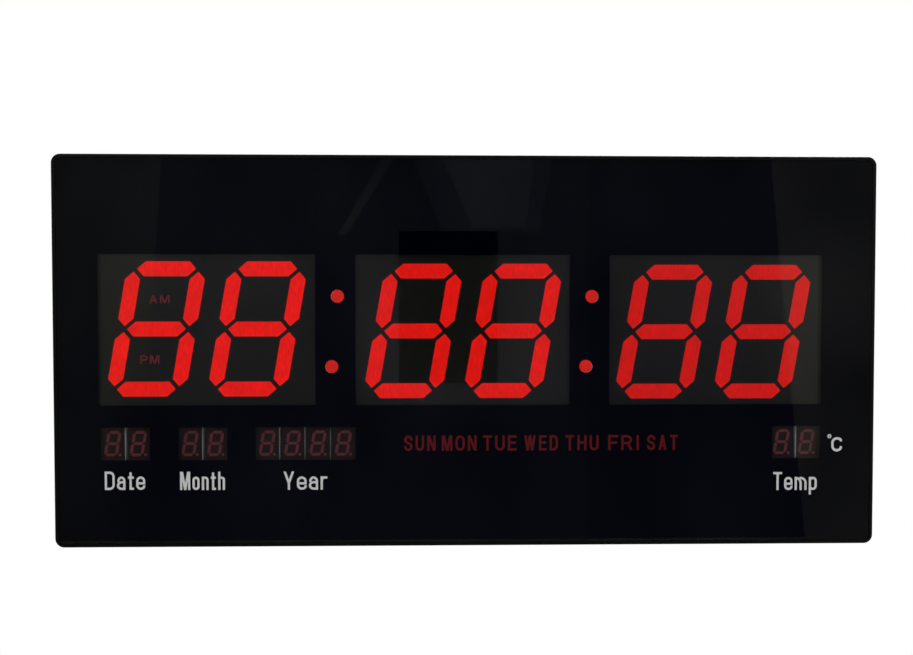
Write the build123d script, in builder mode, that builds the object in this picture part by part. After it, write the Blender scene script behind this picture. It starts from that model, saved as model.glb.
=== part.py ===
from build123d import *
from math import radians, sqrt, tan
import os

# Wall clock with lit digits. Millimetres, +Z up, front towards -Y.
# The origin is the middle of the rear face, which lies on the wall.
# A depth is a distance from the wall towards the front.

# Large digits, upright sizes before they lean
digit_height = 75.7
digit_width = 44.3
digit_lean = 10
digit_pitch = 56.2
segment_width = 8.4
segment_gap = 1.55
segment_corner = 0.4
segment_thickness = 2

# Front layout, from the windows outwards
pair_names = ("hour", "minute", "second")
pair_shifts = [(-0.4, 0.5), (0.3, -0.6), (-0.6, -1.05)]
window_side_margin = 3.28
window_end_margin = 4.35
window_corner = 1
window_gap = 22.34
left_margin = 24.25
right_margin = 29.83
top_margin = 55.03
row_gap = 12.37
bottom_margin = 48.4
housing_lap = 0.6

# Colon dots
dot_diameter = 7.3
dot_spread = 39.3
dot_lean = 4.8
dot_shift = -0.4
dot_drop = 0.85
dot_wall = 1.4
dot_recess = 0.2
lens_thickness = 2
lens_clearance = 0.1
light_gap = 0.3

# Small display modules
module_width = 12.6
module_height = 19
module_depth = 8
module_pitch = 14.25
module_lap = 0.35
short_count = 2
long_count = 4
module_margin = 0.15
date_inset = 1
temp_inset = 0.35
group_gap = 16.2
small_digit_height = 14.2
small_digit_width = 7.7
small_digit_shift = -0.5
small_segment_width = 1.6
small_segment_gap = 0.25
small_segment_thickness = 0.5
point_diameter = 1.6
point_gap = 0.5
pin_width = 0.5
pin_pitch = 2.54
pin_row_gap = 15.24
pins_per_row = 5

# Weekday light box
weekday_count = 7
weekday_pitch = 22.9
weekday_gap = 24.4
weekday_height = 13
weekday_wall = 1.2
diffuser_thickness = 0.6

# Depth stack, from the wall to the front
floor_thickness = 2.2
component_space = 11.4
pcb_thickness = 1.6
housing_depth = 9
face_thickness = 0.3
face_gap = 2
mask_thickness = 0.2
panel_thickness = 3
panel_recess = 0.3

# Case
corner_radius = 5
case_wall = 2
rear_edge_radius = 2.5
front_edge_radius = 0.6
parting_depth = 14
panel_clearance = 0.2
least_corner = 0.4
ledge_width = 5
ledge_thickness = 2
tape_thickness = 0.4
tape_inset = 0.4
lip_thickness = 1.4
lip_height = 2.5
lip_root = 3
lip_clearance = 0.2

# Screws
screw_diameter = 2.8
screw_hole = 3.4
pilot_clearance = 0.1
head_diameter = 5.6
head_height = 2.2
cross_length = 3.2
cross_width = 0.7
cross_depth = 1.2
case_screw_inset = 7
case_screw_pitch = 150
column_diameter = 9.4
boss_diameter = 10.8
boss_gap = 0.5
well_diameter = 6.4
well_depth = 10
boss_cap = 1.5
pilot_spare = 1
standoff_diameter = 7
standoff_hole_depth = 8
board_screw_inset = 8
board_screw_columns = 4

# Circuit board
pcb_side_margin = 5
pcb_end_margin = 8
pcb_corner = 2
led_width = 2.8
led_length = 3.5
led_height = 1.2
chip_height = 1.6
chip_lead = 1.2
chip_lead_height = 0.5
controller_size = 12
controller_place = (-40, 4)
driver_count = 6
driver_pitch = 70
driver_length = 12.8
driver_width = 7.5
driver_row = 30
resistor_count = 14
resistor_pitch = 6
resistor_length = 3.2
resistor_width = 1.6
resistor_height = 0.6
resistor_row = 18
crystal_length = 11.4
crystal_width = 4.7
crystal_height = 3.6
crystal_place = (-20, 4)
buzzer_diameter = 12
buzzer_height = 9.4
buzzer_port = 2.4
buzzer_place = (25, -14)
capacitor_diameter = 8
capacitor_height = 9
capacitor_places = [(174, -48), (187, -48)]
regulator_place = (122, -50)
regulator_width = 10
regulator_body = 9
regulator_tab = 6
regulator_height = 4.5
regulator_tab_height = 1.3
sensor_x = 30
sensor_diameter = 4.6
sensor_length = 4.8
sensor_leads = 3
sensor_lead_pitch = 1.27
sensor_lead_width = 0.5
sensor_lead_overlap = 3
sensor_lead_reach = 7

# Wall fixing and rear face
keyhole_spacing = 300
keyhole_drop = 39.25
keyhole_entry = 9
keyhole_slot = 4.5
keyhole_rise = 10
vent_count = 15
vent_pitch = 6
vent_length = 18
vent_width = 2.5
vent_edge = 25
sound_hole = 2
sound_holes = 6
sound_circle = 4
label_width = 90
label_height = 30
label_corner = 2
label_depth = 0.4
label_place = (-20, 30)

# Setting buttons and their switches
button_names = ("alarm", "set", "down", "up")
button_pitch = 14
button_diameter = 6
button_face = 1
button_clearance = 0.3
button_edge = 0.5
button_travel = 0.5
flange_diameter = 9
flange_thickness = 1.2
flange_gap = 0.15
rod_diameter = 3
bay_place = (-129, -38)
bay_width = 58
bay_height = 15
bay_corner = 2
bay_depth = 3
bay_wall = 2
bay_floor = 2
switch_size = 6
switch_height = 3.5
switch_leg = 1
plunger_diameter = 3.5
plunger_clearance = 0.2
plunger_reach = 1.8
plunger_seat = 1.6

# Backup cell and its turning cap
cell_place = (110, -12)
cell_diameter = 20
cell_height = 3.2
holder_clearance = 0.25
holder_wall = 1.6
holder_base = 1.2
holder_lap = 2.4
hook_width = 6
hook_reach = 2.2
hook_thickness = 0.8
hook_gap = 0.1
contact_width = 5
contact_thickness = 0.4
contact_reach = 8
contact_gap = 0.3
cap_diameter = 26.6
cap_thickness = 1.3
cap_face = 0.4
cap_neck = 22
cap_clearance = 0.3
cap_lift = 0.1
cap_lug_length = 26
cap_lug_width = 5.6
cap_lug_thickness = 1.2
cap_lug_play = 0.2
cap_turn = 60
cap_ring_diameter = 31
cap_ring_height = 2
coin_slot_length = 16
coin_slot_width = 1.8
coin_slot_depth = 0.8

# Power inlet, its nut and leads
jack_x = 150
jack_depth = 8
jack_flange = 10.4
jack_flange_thickness = 1.2
jack_recess = 1.4
jack_fit = 0.2
jack_thread = 8
jack_length = 13
jack_bore = 5.7
jack_bore_depth = 10
jack_pin = 2.1
jack_pin_recess = 0.6
jack_boss_width = 16
jack_boss_height = 4.4
nut_across_flats = 11
nut_sides = 6
nut_thickness = 2.2
nut_fit = 0.1
terminal_pitch = 3.96
terminal_width = 1.6
terminal_thickness = 0.8
terminal_length = 4
lead_diameter = 1.5
lead_straight = 9
lead_bend = 8
lead_entry = 3.4
connector_x = 134
connector_width = 10
connector_length = 8
connector_height = 8

# Sizes that follow from those above
lean = tan(radians(digit_lean))
window_width = digit_pitch + digit_width + digit_height * lean + 2 * window_side_margin
window_height = digit_height + 2 * window_end_margin
window_pitch = window_width + window_gap
module_window_height = module_height - 2 * module_lap
window_steps = len(pair_names) - 1
clock_width = left_margin + window_width + window_steps * window_pitch + right_margin
clock_height = top_margin + window_height + row_gap + module_window_height + bottom_margin
case_left = -clock_width / 2
case_top = clock_height / 2
case_bottom = -clock_height / 2
window_z = case_top - top_margin - window_height / 2
row_z = case_bottom + bottom_margin + module_window_height / 2
first_window_x = case_left + left_margin + window_width / 2
window_xs = [first_window_x + i * window_pitch for i in range(len(pair_names))]
housing_width = window_width + 2 * housing_lap
housing_height = window_height + 2 * housing_lap

pcb_rear = floor_thickness + component_space
pcb_front = pcb_rear + pcb_thickness
housing_front = pcb_front + housing_depth
display_face = housing_front + face_thickness
mask_rear = display_face + face_gap
panel_rear = mask_rear + mask_thickness
panel_front = panel_rear + panel_thickness
clock_depth = panel_front + panel_recess
ledge_front = mask_rear - tape_thickness
ledge_rear = ledge_front - ledge_thickness
segment_rear = display_face - segment_thickness
small_segment_rear = display_face - small_segment_thickness
module_rear = display_face - module_depth
weekday_front = mask_rear - diffuser_thickness

inner_width = clock_width - 2 * case_wall
inner_height = clock_height - 2 * case_wall
inner_corner = max(corner_radius - case_wall, least_corner)
panel_width = inner_width - 2 * panel_clearance
panel_height = inner_height - 2 * panel_clearance
panel_corner = max(inner_corner - panel_clearance, least_corner)
column_front = parting_depth + lip_height + boss_gap

pcb_x = (window_xs[0] + window_xs[-1]) / 2
pcb_top = window_z + housing_height / 2 + pcb_end_margin
pcb_bottom = row_z - module_height / 2 - pcb_end_margin
pcb_z = (pcb_top + pcb_bottom) / 2
pcb_width = window_steps * window_pitch + housing_width + 2 * pcb_side_margin
pcb_height = pcb_top - pcb_bottom
board_screw_left = pcb_x - pcb_width / 2 + board_screw_inset
board_screw_pitch = (pcb_width - 2 * board_screw_inset) / (board_screw_columns - 1)
board_screw_places = [
    (board_screw_left + i * board_screw_pitch, z)
    for i in range(board_screw_columns)
    for z in (pcb_bottom + pcb_end_margin / 2, pcb_top - pcb_end_margin / 2)
]
pilot_diameter = screw_diameter + pilot_clearance

case_screw_x = clock_width / 2 - case_screw_inset
case_screw_z = clock_height / 2 - case_screw_inset
case_screw_places = [
    (x, z)
    for x in (-case_screw_x, -case_screw_pitch / 2, case_screw_pitch / 2, case_screw_x)
    for z in (-case_screw_z, case_screw_z)
]

short_group = (short_count - 1) * module_pitch + module_width
long_group = (long_count - 1) * module_pitch + module_width
date_x = first_window_x - window_width / 2 + date_inset + short_group / 2
month_x = date_x + short_group + group_gap
year_x = month_x + (short_group + long_group) / 2 + group_gap
temp_x = window_xs[-1] + window_width / 2 - temp_inset - short_group / 2
groups = [
    ("date", short_count, date_x),
    ("month", short_count, month_x),
    ("year", long_count, year_x),
    ("temp", short_count, temp_x),
]
weekday_width = weekday_count * weekday_pitch + weekday_wall
weekday_x = year_x + long_group / 2 + weekday_gap + weekday_width / 2

pair_centres = [(x + shift_x, window_z + shift_z) for x, (shift_x, shift_z) in zip(window_xs, pair_shifts)]

dot_run = dot_spread / 2 * tan(radians(dot_lean))
dot_z = window_z - dot_drop
dot_centres = [
    (window_xs[i] + window_pitch / 2 + dot_shift + side * dot_run, dot_z + side * dot_spread / 2)
    for i in range(window_steps)
    for side in (-1, 1)
]
tube_front = mask_rear - light_gap
lens_front = tube_front - dot_recess

bay_front = bay_depth + bay_floor
flange_rear = bay_front + flange_gap
switch_rear = pcb_rear - switch_height
plunger_tip = switch_rear - plunger_reach
first_button_x = bay_place[0] - (len(button_names) - 1) * button_pitch / 2
button_xs = [first_button_x + i * button_pitch for i in range(len(button_names))]
switch_places = [(x, bay_place[1]) for x in button_xs]

cap_seat = cap_face + cap_thickness + cap_lift
cap_ring_front = floor_thickness + cap_ring_height
cap_lug_rear = cap_ring_front + cap_lug_play
cell_front = pcb_rear - holder_base
cell_rear = cell_front - cell_height
holder_radius = cell_diameter / 2 + holder_clearance + holder_wall

jack_seat = case_bottom + jack_recess
jack_face = jack_seat - jack_flange_thickness
jack_top = jack_face + jack_length
jack_boss_top = case_bottom + jack_boss_height
lead_start = jack_top + terminal_length
connector_z = pcb_bottom + connector_length
lead_run = connector_z - connector_length / 2 - lead_start
lead_across = (connector_x - jack_x, jack_depth + lead_entry - pcb_rear)
lead_shift = sqrt(lead_across[0] ** 2 + lead_across[1] ** 2)
terminal_xs = [jack_x - terminal_pitch / 2, jack_x + terminal_pitch / 2]


def segment_outlines(height, width, stroke, gap):
    """Corner points of the seven segments of one leaning digit, about its middle."""
    half = stroke / 2
    reach_x = (width - stroke) / 2
    reach_z = (height - stroke) / 2
    flat = reach_x - gap
    tall = reach_z / 2 - gap
    level = [(-flat, 0), (half - flat, half), (flat - half, half)]
    level += [(flat, 0), (flat - half, -half), (half - flat, -half)]
    upright = [(0, -tall), (half, half - tall), (half, tall - half)]
    upright += [(0, tall), (-half, tall - half), (-half, half - tall)]
    placed = [[(x, z + row) for x, z in level] for row in (-reach_z, 0, reach_z)]
    for side in (-reach_x, reach_x):
        for row in (-reach_z / 2, reach_z / 2):
            placed.append([(x + side, z + row) for x, z in upright])
    return [[(x + z * lean, z) for x, z in points] for points in placed]


def draw_digits(places, outlines):
    """Draws whole digits in the open sketch."""
    with Locations(*places):
        for points in outlines:
            Polygon(*points, align=None)


def middles(places, outlines):
    """The middle of every segment of the digits at these places."""
    found = []
    for place_x, place_z in places:
        for points in outlines:
            mean_x = sum(x for x, z in points) / len(points)
            mean_z = sum(z for x, z in points) / len(points)
            found.append((place_x + mean_x, place_z + mean_z))
    return found


def pair_places(centre):
    """The middles of the two digits of a pair about this centre."""
    centre_x, centre_z = centre
    return [(centre_x - digit_pitch / 2, centre_z), (centre_x + digit_pitch / 2, centre_z)]


def module_places(count, centre_x):
    """The middles of the modules in one small group."""
    first = centre_x - (count - 1) * module_pitch / 2
    return [(first + i * module_pitch, row_z) for i in range(count)]


large_outlines = segment_outlines(digit_height, digit_width, segment_width, segment_gap)
small_outlines = segment_outlines(
    small_digit_height, small_digit_width, small_segment_width, small_segment_gap
)
point_x = small_digit_shift + (small_digit_width + point_diameter) / 2 + point_gap
point_x -= (small_digit_height - point_diameter) / 2 * lean
point_z = (point_diameter - small_digit_height) / 2
pieces = {}

# Front frame: outer wall, a ledge for the panel and the bosses that take the case screws
with BuildPart() as front_frame:
    with BuildSketch(Plane.XZ.offset(parting_depth)):
        RectangleRounded(clock_width, clock_height, corner_radius)
        RectangleRounded(inner_width, inner_height, inner_corner, mode=Mode.SUBTRACT)
    extrude(amount=clock_depth - parting_depth)
    front_rim = front_frame.faces().sort_by(Axis.Y)[0].outer_wire().edges()
    fillet(front_rim, front_edge_radius)
    with BuildSketch(Plane.XZ.offset(ledge_rear)):
        RectangleRounded(inner_width + case_wall, inner_height + case_wall, inner_corner)
        RectangleRounded(
            inner_width - 2 * ledge_width, inner_height - 2 * ledge_width, inner_corner, mode=Mode.SUBTRACT
        )
    extrude(amount=ledge_thickness)
    with BuildSketch(Plane.XZ.offset(column_front)):
        with Locations(*case_screw_places):
            Circle(boss_diameter / 2)
    extrude(amount=ledge_front - column_front)
    with BuildSketch(Plane.XZ.offset(column_front)):
        with Locations(*case_screw_places):
            Circle(pilot_diameter / 2)
    extrude(amount=ledge_front - boss_cap - column_front, mode=Mode.SUBTRACT)
pieces["front_frame"] = front_frame

# Front panel: one clear sheet in the frame
with BuildPart() as front_panel:
    with BuildSketch(Plane.XZ.offset(panel_rear)):
        RectangleRounded(panel_width, panel_height, panel_corner)
    extrude(amount=panel_thickness)
pieces["front_panel"] = front_panel

# Mask film: black sheet behind the panel with a window for every display
with BuildPart() as mask_film:
    with BuildSketch(Plane.XZ.offset(mask_rear)):
        RectangleRounded(panel_width, panel_height, panel_corner)
        with Locations(*[(x, window_z) for x in window_xs]):
            RectangleRounded(window_width, window_height, window_corner, mode=Mode.SUBTRACT)
        with Locations(*dot_centres):
            Circle(dot_diameter / 2, mode=Mode.SUBTRACT)
        for group, count, centre_x in groups:
            with Locations((centre_x, row_z)):
                window_run = (count - 1) * module_pitch + module_width + 2 * module_margin
                Rectangle(window_run, module_window_height, mode=Mode.SUBTRACT)
    extrude(amount=mask_thickness)
pieces["mask_film"] = mask_film

# Adhesive tape between the frame's ledge and the mask
with BuildPart() as panel_tape:
    with BuildSketch(Plane.XZ.offset(ledge_front)):
        RectangleRounded(inner_width - 2 * tape_inset, inner_height - 2 * tape_inset, inner_corner)
        RectangleRounded(
            inner_width - 2 * (ledge_width - tape_inset),
            inner_height - 2 * (ledge_width - tape_inset),
            inner_corner,
            mode=Mode.SUBTRACT,
        )
    extrude(amount=tape_thickness)
pieces["panel_tape"] = panel_tape

# Large displays: a housing with wells, a grey face and the segments that fill them
for pair, window_x, centre in zip(pair_names, window_xs, pair_centres):
    with BuildPart() as housing:
        with BuildSketch(Plane.XZ.offset(pcb_front)):
            with Locations((window_x, window_z)):
                Rectangle(housing_width, housing_height)
        extrude(amount=housing_depth)
        with BuildSketch(Plane.XZ.offset(pcb_front)) as wells:
            draw_digits(pair_places(centre), large_outlines)
            fillet(wells.vertices(), segment_corner)
        extrude(amount=housing_depth, mode=Mode.SUBTRACT)
    pieces[f"{pair}_housing"] = housing

    with BuildPart() as face:
        with BuildSketch(Plane.XZ.offset(housing_front)):
            with Locations((window_x, window_z)):
                Rectangle(housing_width, housing_height)
        extrude(amount=face_thickness)
        with BuildSketch(Plane.XZ.offset(housing_front)) as cutouts:
            draw_digits(pair_places(centre), large_outlines)
            fillet(cutouts.vertices(), segment_corner)
        extrude(amount=face_thickness, mode=Mode.SUBTRACT)
    pieces[f"{pair}_face"] = face

    with BuildPart() as segments:
        with BuildSketch(Plane.XZ.offset(segment_rear)) as bars:
            draw_digits(pair_places(centre), large_outlines)
            fillet(bars.vertices(), segment_corner)
        extrude(amount=segment_thickness)
    pieces[f"{pair}_segments"] = segments

# One LED behind every large segment
with BuildPart() as segment_leds:
    with BuildSketch(Plane.XZ.offset(pcb_front)):
        for centre in pair_centres:
            with Locations(*middles(pair_places(centre), large_outlines)):
                Rectangle(led_length, led_width)
    extrude(amount=led_height)
pieces["segment_leds"] = segment_leds

# Colon dots: a light tube on the board, a lens inside it and its LED
with BuildPart() as colon_tubes:
    with BuildSketch(Plane.XZ.offset(pcb_front)):
        with Locations(*dot_centres):
            Circle(dot_diameter / 2 + dot_wall)
            Circle(dot_diameter / 2, mode=Mode.SUBTRACT)
    extrude(amount=tube_front - pcb_front)
pieces["colon_tubes"] = colon_tubes

with BuildPart() as colon_lenses:
    with BuildSketch(Plane.XZ.offset(lens_front - lens_thickness)):
        with Locations(*dot_centres):
            Circle(dot_diameter / 2 - lens_clearance)
    extrude(amount=lens_thickness)
pieces["colon_lenses"] = colon_lenses

with BuildPart() as colon_leds:
    with BuildSketch(Plane.XZ.offset(pcb_front)):
        with Locations(*dot_centres):
            Rectangle(led_length, led_width)
    extrude(amount=led_height)
pieces["colon_leds"] = colon_leds

# Small displays: modules standing on their pins, with inlaid segments and a point
for group, count, centre_x in groups:
    places = module_places(count, centre_x)
    digit_places = [(x + small_digit_shift, z) for x, z in places]
    point_places = [(x + point_x, z + point_z) for x, z in places]

    with BuildPart() as modules:
        with BuildSketch(Plane.XZ.offset(module_rear)):
            with Locations(*places):
                Rectangle(module_width, module_height)
        extrude(amount=module_depth)
        with BuildSketch(Plane.XZ.offset(small_segment_rear)):
            draw_digits(digit_places, small_outlines)
            with Locations(*point_places):
                Circle(point_diameter / 2)
        extrude(amount=small_segment_thickness, mode=Mode.SUBTRACT)
        with BuildSketch(Plane.XZ.offset(pcb_front)):
            with Locations(*places):
                with GridLocations(pin_pitch, pin_row_gap, pins_per_row, 2):
                    Rectangle(pin_width, pin_width)
        extrude(amount=module_rear - pcb_front)
    pieces[f"{group}_modules"] = modules

    with BuildPart() as inlays:
        with BuildSketch(Plane.XZ.offset(small_segment_rear)):
            draw_digits(digit_places, small_outlines)
            with Locations(*point_places):
                Circle(point_diameter / 2)
        extrude(amount=small_segment_thickness)
    pieces[f"{group}_segments"] = inlays

# Weekday light box: one cell for each word, a diffuser over all and an LED in each
with BuildPart() as weekday_light_box:
    with BuildSketch(Plane.XZ.offset(pcb_front)):
        with Locations((weekday_x, row_z)):
            Rectangle(weekday_width, weekday_height)
            with GridLocations(weekday_pitch, weekday_height, weekday_count, 1):
                Rectangle(weekday_pitch - weekday_wall, weekday_height - 2 * weekday_wall, mode=Mode.SUBTRACT)
    extrude(amount=weekday_front - pcb_front)
pieces["weekday_light_box"] = weekday_light_box

with BuildPart() as weekday_diffuser:
    with BuildSketch(Plane.XZ.offset(weekday_front)):
        with Locations((weekday_x, row_z)):
            Rectangle(weekday_width, weekday_height)
    extrude(amount=diffuser_thickness)
pieces["weekday_diffuser"] = weekday_diffuser

with BuildPart() as weekday_leds:
    with BuildSketch(Plane.XZ.offset(pcb_front)):
        with Locations((weekday_x, row_z)):
            with GridLocations(weekday_pitch, weekday_height, weekday_count, 1):
                Rectangle(led_length, led_width)
    extrude(amount=led_height)
pieces["weekday_leds"] = weekday_leds

# Main circuit board, screwed to the rear cover's standoffs
with BuildPart() as main_pcb:
    with BuildSketch(Plane.XZ.offset(pcb_rear)):
        with Locations((pcb_x, pcb_z)):
            RectangleRounded(pcb_width, pcb_height, pcb_corner)
        with Locations(*board_screw_places):
            Circle(screw_hole / 2, mode=Mode.SUBTRACT)
    extrude(amount=pcb_thickness)
pieces["main_pcb"] = main_pcb

# Components on the rear of the board
with BuildPart() as controller_chip:
    with BuildSketch(Plane.XZ.offset(pcb_rear)):
        with Locations(controller_place):
            Rectangle(controller_size, controller_size)
    extrude(amount=-chip_height)
    with BuildSketch(Plane.XZ.offset(pcb_rear)):
        with Locations(controller_place):
            Rectangle(controller_size + 2 * chip_lead, controller_size - 2 * chip_lead)
            Rectangle(controller_size - 2 * chip_lead, controller_size + 2 * chip_lead)
    extrude(amount=-chip_lead_height)
pieces["controller_chip"] = controller_chip

with BuildPart() as driver_chips:
    with BuildSketch(Plane.XZ.offset(pcb_rear)):
        with Locations((pcb_x, driver_row)):
            with GridLocations(driver_pitch, driver_width, driver_count, 1):
                Rectangle(driver_length, driver_width)
    extrude(amount=-chip_height)
    with BuildSketch(Plane.XZ.offset(pcb_rear)):
        with Locations((pcb_x, driver_row)):
            with GridLocations(driver_pitch, driver_width, driver_count, 1):
                Rectangle(driver_length - chip_lead, driver_width + 2 * chip_lead)
    extrude(amount=-chip_lead_height)
pieces["driver_chips"] = driver_chips

with BuildPart() as segment_resistors:
    with BuildSketch(Plane.XZ.offset(pcb_rear)):
        with Locations((pcb_x, resistor_row)):
            with GridLocations(resistor_pitch, resistor_length, resistor_count, 1):
                Rectangle(resistor_width, resistor_length)
    extrude(amount=-resistor_height)
pieces["segment_resistors"] = segment_resistors

with BuildPart() as clock_crystal:
    with BuildSketch(Plane.XZ.offset(pcb_rear)):
        with Locations(crystal_place):
            SlotOverall(crystal_length, crystal_width)
    extrude(amount=-crystal_height)
pieces["clock_crystal"] = clock_crystal

with BuildPart() as buzzer:
    with BuildSketch(Plane.XZ.offset(pcb_rear)):
        with Locations(buzzer_place):
            Circle(buzzer_diameter / 2)
    extrude(amount=-buzzer_height)
    with BuildSketch(Plane.XZ.offset(pcb_rear - buzzer_height)):
        with Locations(buzzer_place):
            Circle(buzzer_port / 2)
    extrude(amount=buzzer_height / 2, mode=Mode.SUBTRACT)
pieces["buzzer"] = buzzer

with BuildPart() as filter_capacitors:
    with BuildSketch(Plane.XZ.offset(pcb_rear)):
        with Locations(*capacitor_places):
            Circle(capacitor_diameter / 2)
    extrude(amount=-capacitor_height)
pieces["filter_capacitors"] = filter_capacitors

with BuildPart() as voltage_regulator:
    with BuildSketch(Plane.XZ.offset(pcb_rear)):
        with Locations(regulator_place):
            Rectangle(regulator_width, regulator_body)
    extrude(amount=-regulator_height)
    with BuildSketch(Plane.XZ.offset(pcb_rear)):
        with Locations(regulator_place):
            Rectangle(regulator_width, regulator_body + 2 * regulator_tab)
    extrude(amount=-regulator_tab_height)
pieces["voltage_regulator"] = voltage_regulator

# Temperature sensor, on leads below the board's lower edge
with BuildPart() as temperature_sensor:
    with BuildSketch(Plane.XY.offset(pcb_bottom - sensor_lead_reach)):
        with Locations((sensor_x, -pcb_rear + sensor_lead_width / 2)):
            Circle(sensor_diameter / 2)
    extrude(amount=-sensor_length)
    with BuildSketch(Plane.XY.offset(pcb_bottom - sensor_lead_reach)):
        with Locations((sensor_x, -pcb_rear + sensor_lead_width / 2)):
            with GridLocations(sensor_lead_pitch, sensor_lead_width, sensor_leads, 1):
                Rectangle(sensor_lead_width, sensor_lead_width)
    extrude(amount=sensor_lead_reach + sensor_lead_overlap)
pieces["temperature_sensor"] = temperature_sensor

# Backup cell, its holder and the spring contact over its edge
with BuildPart() as cell_holder:
    with BuildSketch(Plane.XZ.offset(pcb_rear)):
        with Locations(cell_place):
            Circle(holder_radius)
    extrude(amount=-(holder_base + holder_lap))
    with BuildSketch(Plane.XZ.offset(cell_front)):
        with Locations(cell_place):
            Circle(cell_diameter / 2 + holder_clearance)
    extrude(amount=-holder_lap, mode=Mode.SUBTRACT)
    hook_middle = cell_place[0] + holder_radius - holder_wall / 2
    with BuildSketch(Plane.XZ.offset(cell_front)):
        with Locations((hook_middle, cell_place[1])):
            Rectangle(holder_wall, hook_width)
    extrude(amount=-(cell_height + hook_gap + hook_thickness))
    with BuildSketch(Plane.XZ.offset(cell_rear - hook_gap)):
        with Locations((hook_middle - hook_reach / 2, cell_place[1])):
            Rectangle(holder_wall + hook_reach, hook_width)
    extrude(amount=-hook_thickness)
pieces["cell_holder"] = cell_holder

with BuildPart() as coin_cell:
    with BuildSketch(Plane.XZ.offset(cell_rear)):
        with Locations(cell_place):
            Circle(cell_diameter / 2)
    extrude(amount=cell_height)
pieces["coin_cell"] = coin_cell

with BuildPart() as cell_contact:
    leg_outer = cell_place[0] - holder_radius - contact_gap - contact_thickness
    strip_length = contact_gap + contact_thickness + holder_wall + contact_reach
    with BuildSketch(Plane.XZ.offset(cell_rear)):
        with Locations((leg_outer + strip_length / 2, cell_place[1])):
            Rectangle(strip_length, contact_width)
    extrude(amount=-contact_thickness)
    with BuildSketch(Plane.XZ.offset(cell_rear)):
        with Locations((leg_outer + contact_thickness / 2, cell_place[1])):
            Rectangle(contact_thickness, contact_width)
    extrude(amount=pcb_rear - cell_rear)
pieces["cell_contact"] = cell_contact

# Battery cap: a disc with a coin slot and a bar of two lugs that lock under the cover
with BuildPart() as battery_cap:
    with BuildSketch(Plane.XZ.offset(cap_face)):
        with Locations(cell_place):
            Circle(cap_diameter / 2)
    extrude(amount=cap_thickness)
    with BuildSketch(Plane.XZ.offset(cap_face + cap_thickness)):
        with Locations(cell_place):
            Circle(cap_neck / 2)
    extrude(amount=cap_lug_rear + cap_lug_thickness - cap_face - cap_thickness)
    with BuildSketch(Plane.XZ.offset(cap_lug_rear)):
        with Locations(cell_place):
            Rectangle(cap_lug_length, cap_lug_width)
            Circle(cap_lug_length / 2, mode=Mode.INTERSECT)
    extrude(amount=cap_lug_thickness)
    with BuildSketch(Plane.XZ.offset(cap_face)):
        with Locations(cell_place):
            SlotOverall(coin_slot_length, coin_slot_width)
    extrude(amount=coin_slot_depth, mode=Mode.SUBTRACT)
pieces["battery_cap"] = battery_cap

# Power inlet: threaded barrel with a flange outside and two terminals inside
with BuildPart() as dc_jack:
    with BuildSketch(Plane.XY.offset(jack_face)):
        with Locations((jack_x, -jack_depth)):
            Circle(jack_flange / 2)
    extrude(amount=jack_flange_thickness)
    with BuildSketch(Plane.XY.offset(jack_face)):
        with Locations((jack_x, -jack_depth)):
            Circle(jack_thread / 2)
    extrude(amount=jack_length)
    with BuildSketch(Plane.XY.offset(jack_face)):
        with Locations((jack_x, -jack_depth)):
            Circle(jack_bore / 2)
            Circle(jack_pin / 2, mode=Mode.SUBTRACT)
    extrude(amount=jack_bore_depth, mode=Mode.SUBTRACT)
    with BuildSketch(Plane.XY.offset(jack_face)):
        with Locations((jack_x, -jack_depth)):
            Circle(jack_bore / 2)
    extrude(amount=jack_pin_recess, mode=Mode.SUBTRACT)
    with BuildSketch(Plane.XY.offset(jack_top)):
        with Locations(*[(x, -jack_depth) for x in terminal_xs]):
            Rectangle(terminal_width, terminal_thickness)
    extrude(amount=terminal_length)
pieces["dc_jack"] = dc_jack

with BuildPart() as jack_nut:
    with BuildSketch(Plane.XY.offset(jack_boss_top)):
        with Locations((jack_x, -jack_depth)):
            RegularPolygon(nut_across_flats / 2, nut_sides, major_radius=False)
            Circle(jack_thread / 2 + nut_fit, mode=Mode.SUBTRACT)
    extrude(amount=nut_thickness)
pieces["jack_nut"] = jack_nut

with BuildPart() as lead_connector:
    with BuildSketch(Plane.XZ.offset(pcb_rear)):
        with Locations((connector_x, connector_z)):
            Rectangle(connector_width, connector_length)
    extrude(amount=-connector_height)
pieces["lead_connector"] = lead_connector

# Two leads from the inlet's terminals, straight up, across and up again into the connector
with BuildPart() as power_leads:
    for terminal_x in terminal_xs:
        lead_plane = Plane(
            origin=(terminal_x, -jack_depth, lead_start),
            x_dir=(*lead_across, 0),
            z_dir=(lead_across[1], -lead_across[0], 0),
        )
        with BuildLine(lead_plane) as route:
            FilletPolyline(
                (0, 0),
                (0, lead_straight),
                (lead_shift, lead_run - lead_straight),
                (lead_shift, lead_run),
                radius=lead_bend,
            )
        with BuildSketch(Plane(origin=route.line @ 0, z_dir=route.line % 0)):
            Circle(lead_diameter / 2)
        sweep(path=route.line)
pieces["power_leads"] = power_leads

# Tact switches on the board, one for each button
with BuildPart() as switch_bodies:
    with BuildSketch(Plane.XZ.offset(pcb_rear)):
        with Locations(*switch_places):
            Rectangle(switch_size, switch_size)
    extrude(amount=-switch_height)
    with BuildSketch(Plane.XZ.offset(switch_rear)):
        with Locations(*switch_places):
            Circle(plunger_diameter / 2 + plunger_clearance)
    extrude(amount=plunger_seat + 2 * button_travel, mode=Mode.SUBTRACT)
    with BuildSketch(Plane.XZ.offset(pcb_rear)):
        with Locations(*switch_places):
            with GridLocations(switch_size + switch_leg, switch_size - 2 * switch_leg, 2, 2):
                Rectangle(switch_leg, switch_leg)
    extrude(amount=-chip_lead_height)
pieces["switch_bodies"] = switch_bodies

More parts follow.
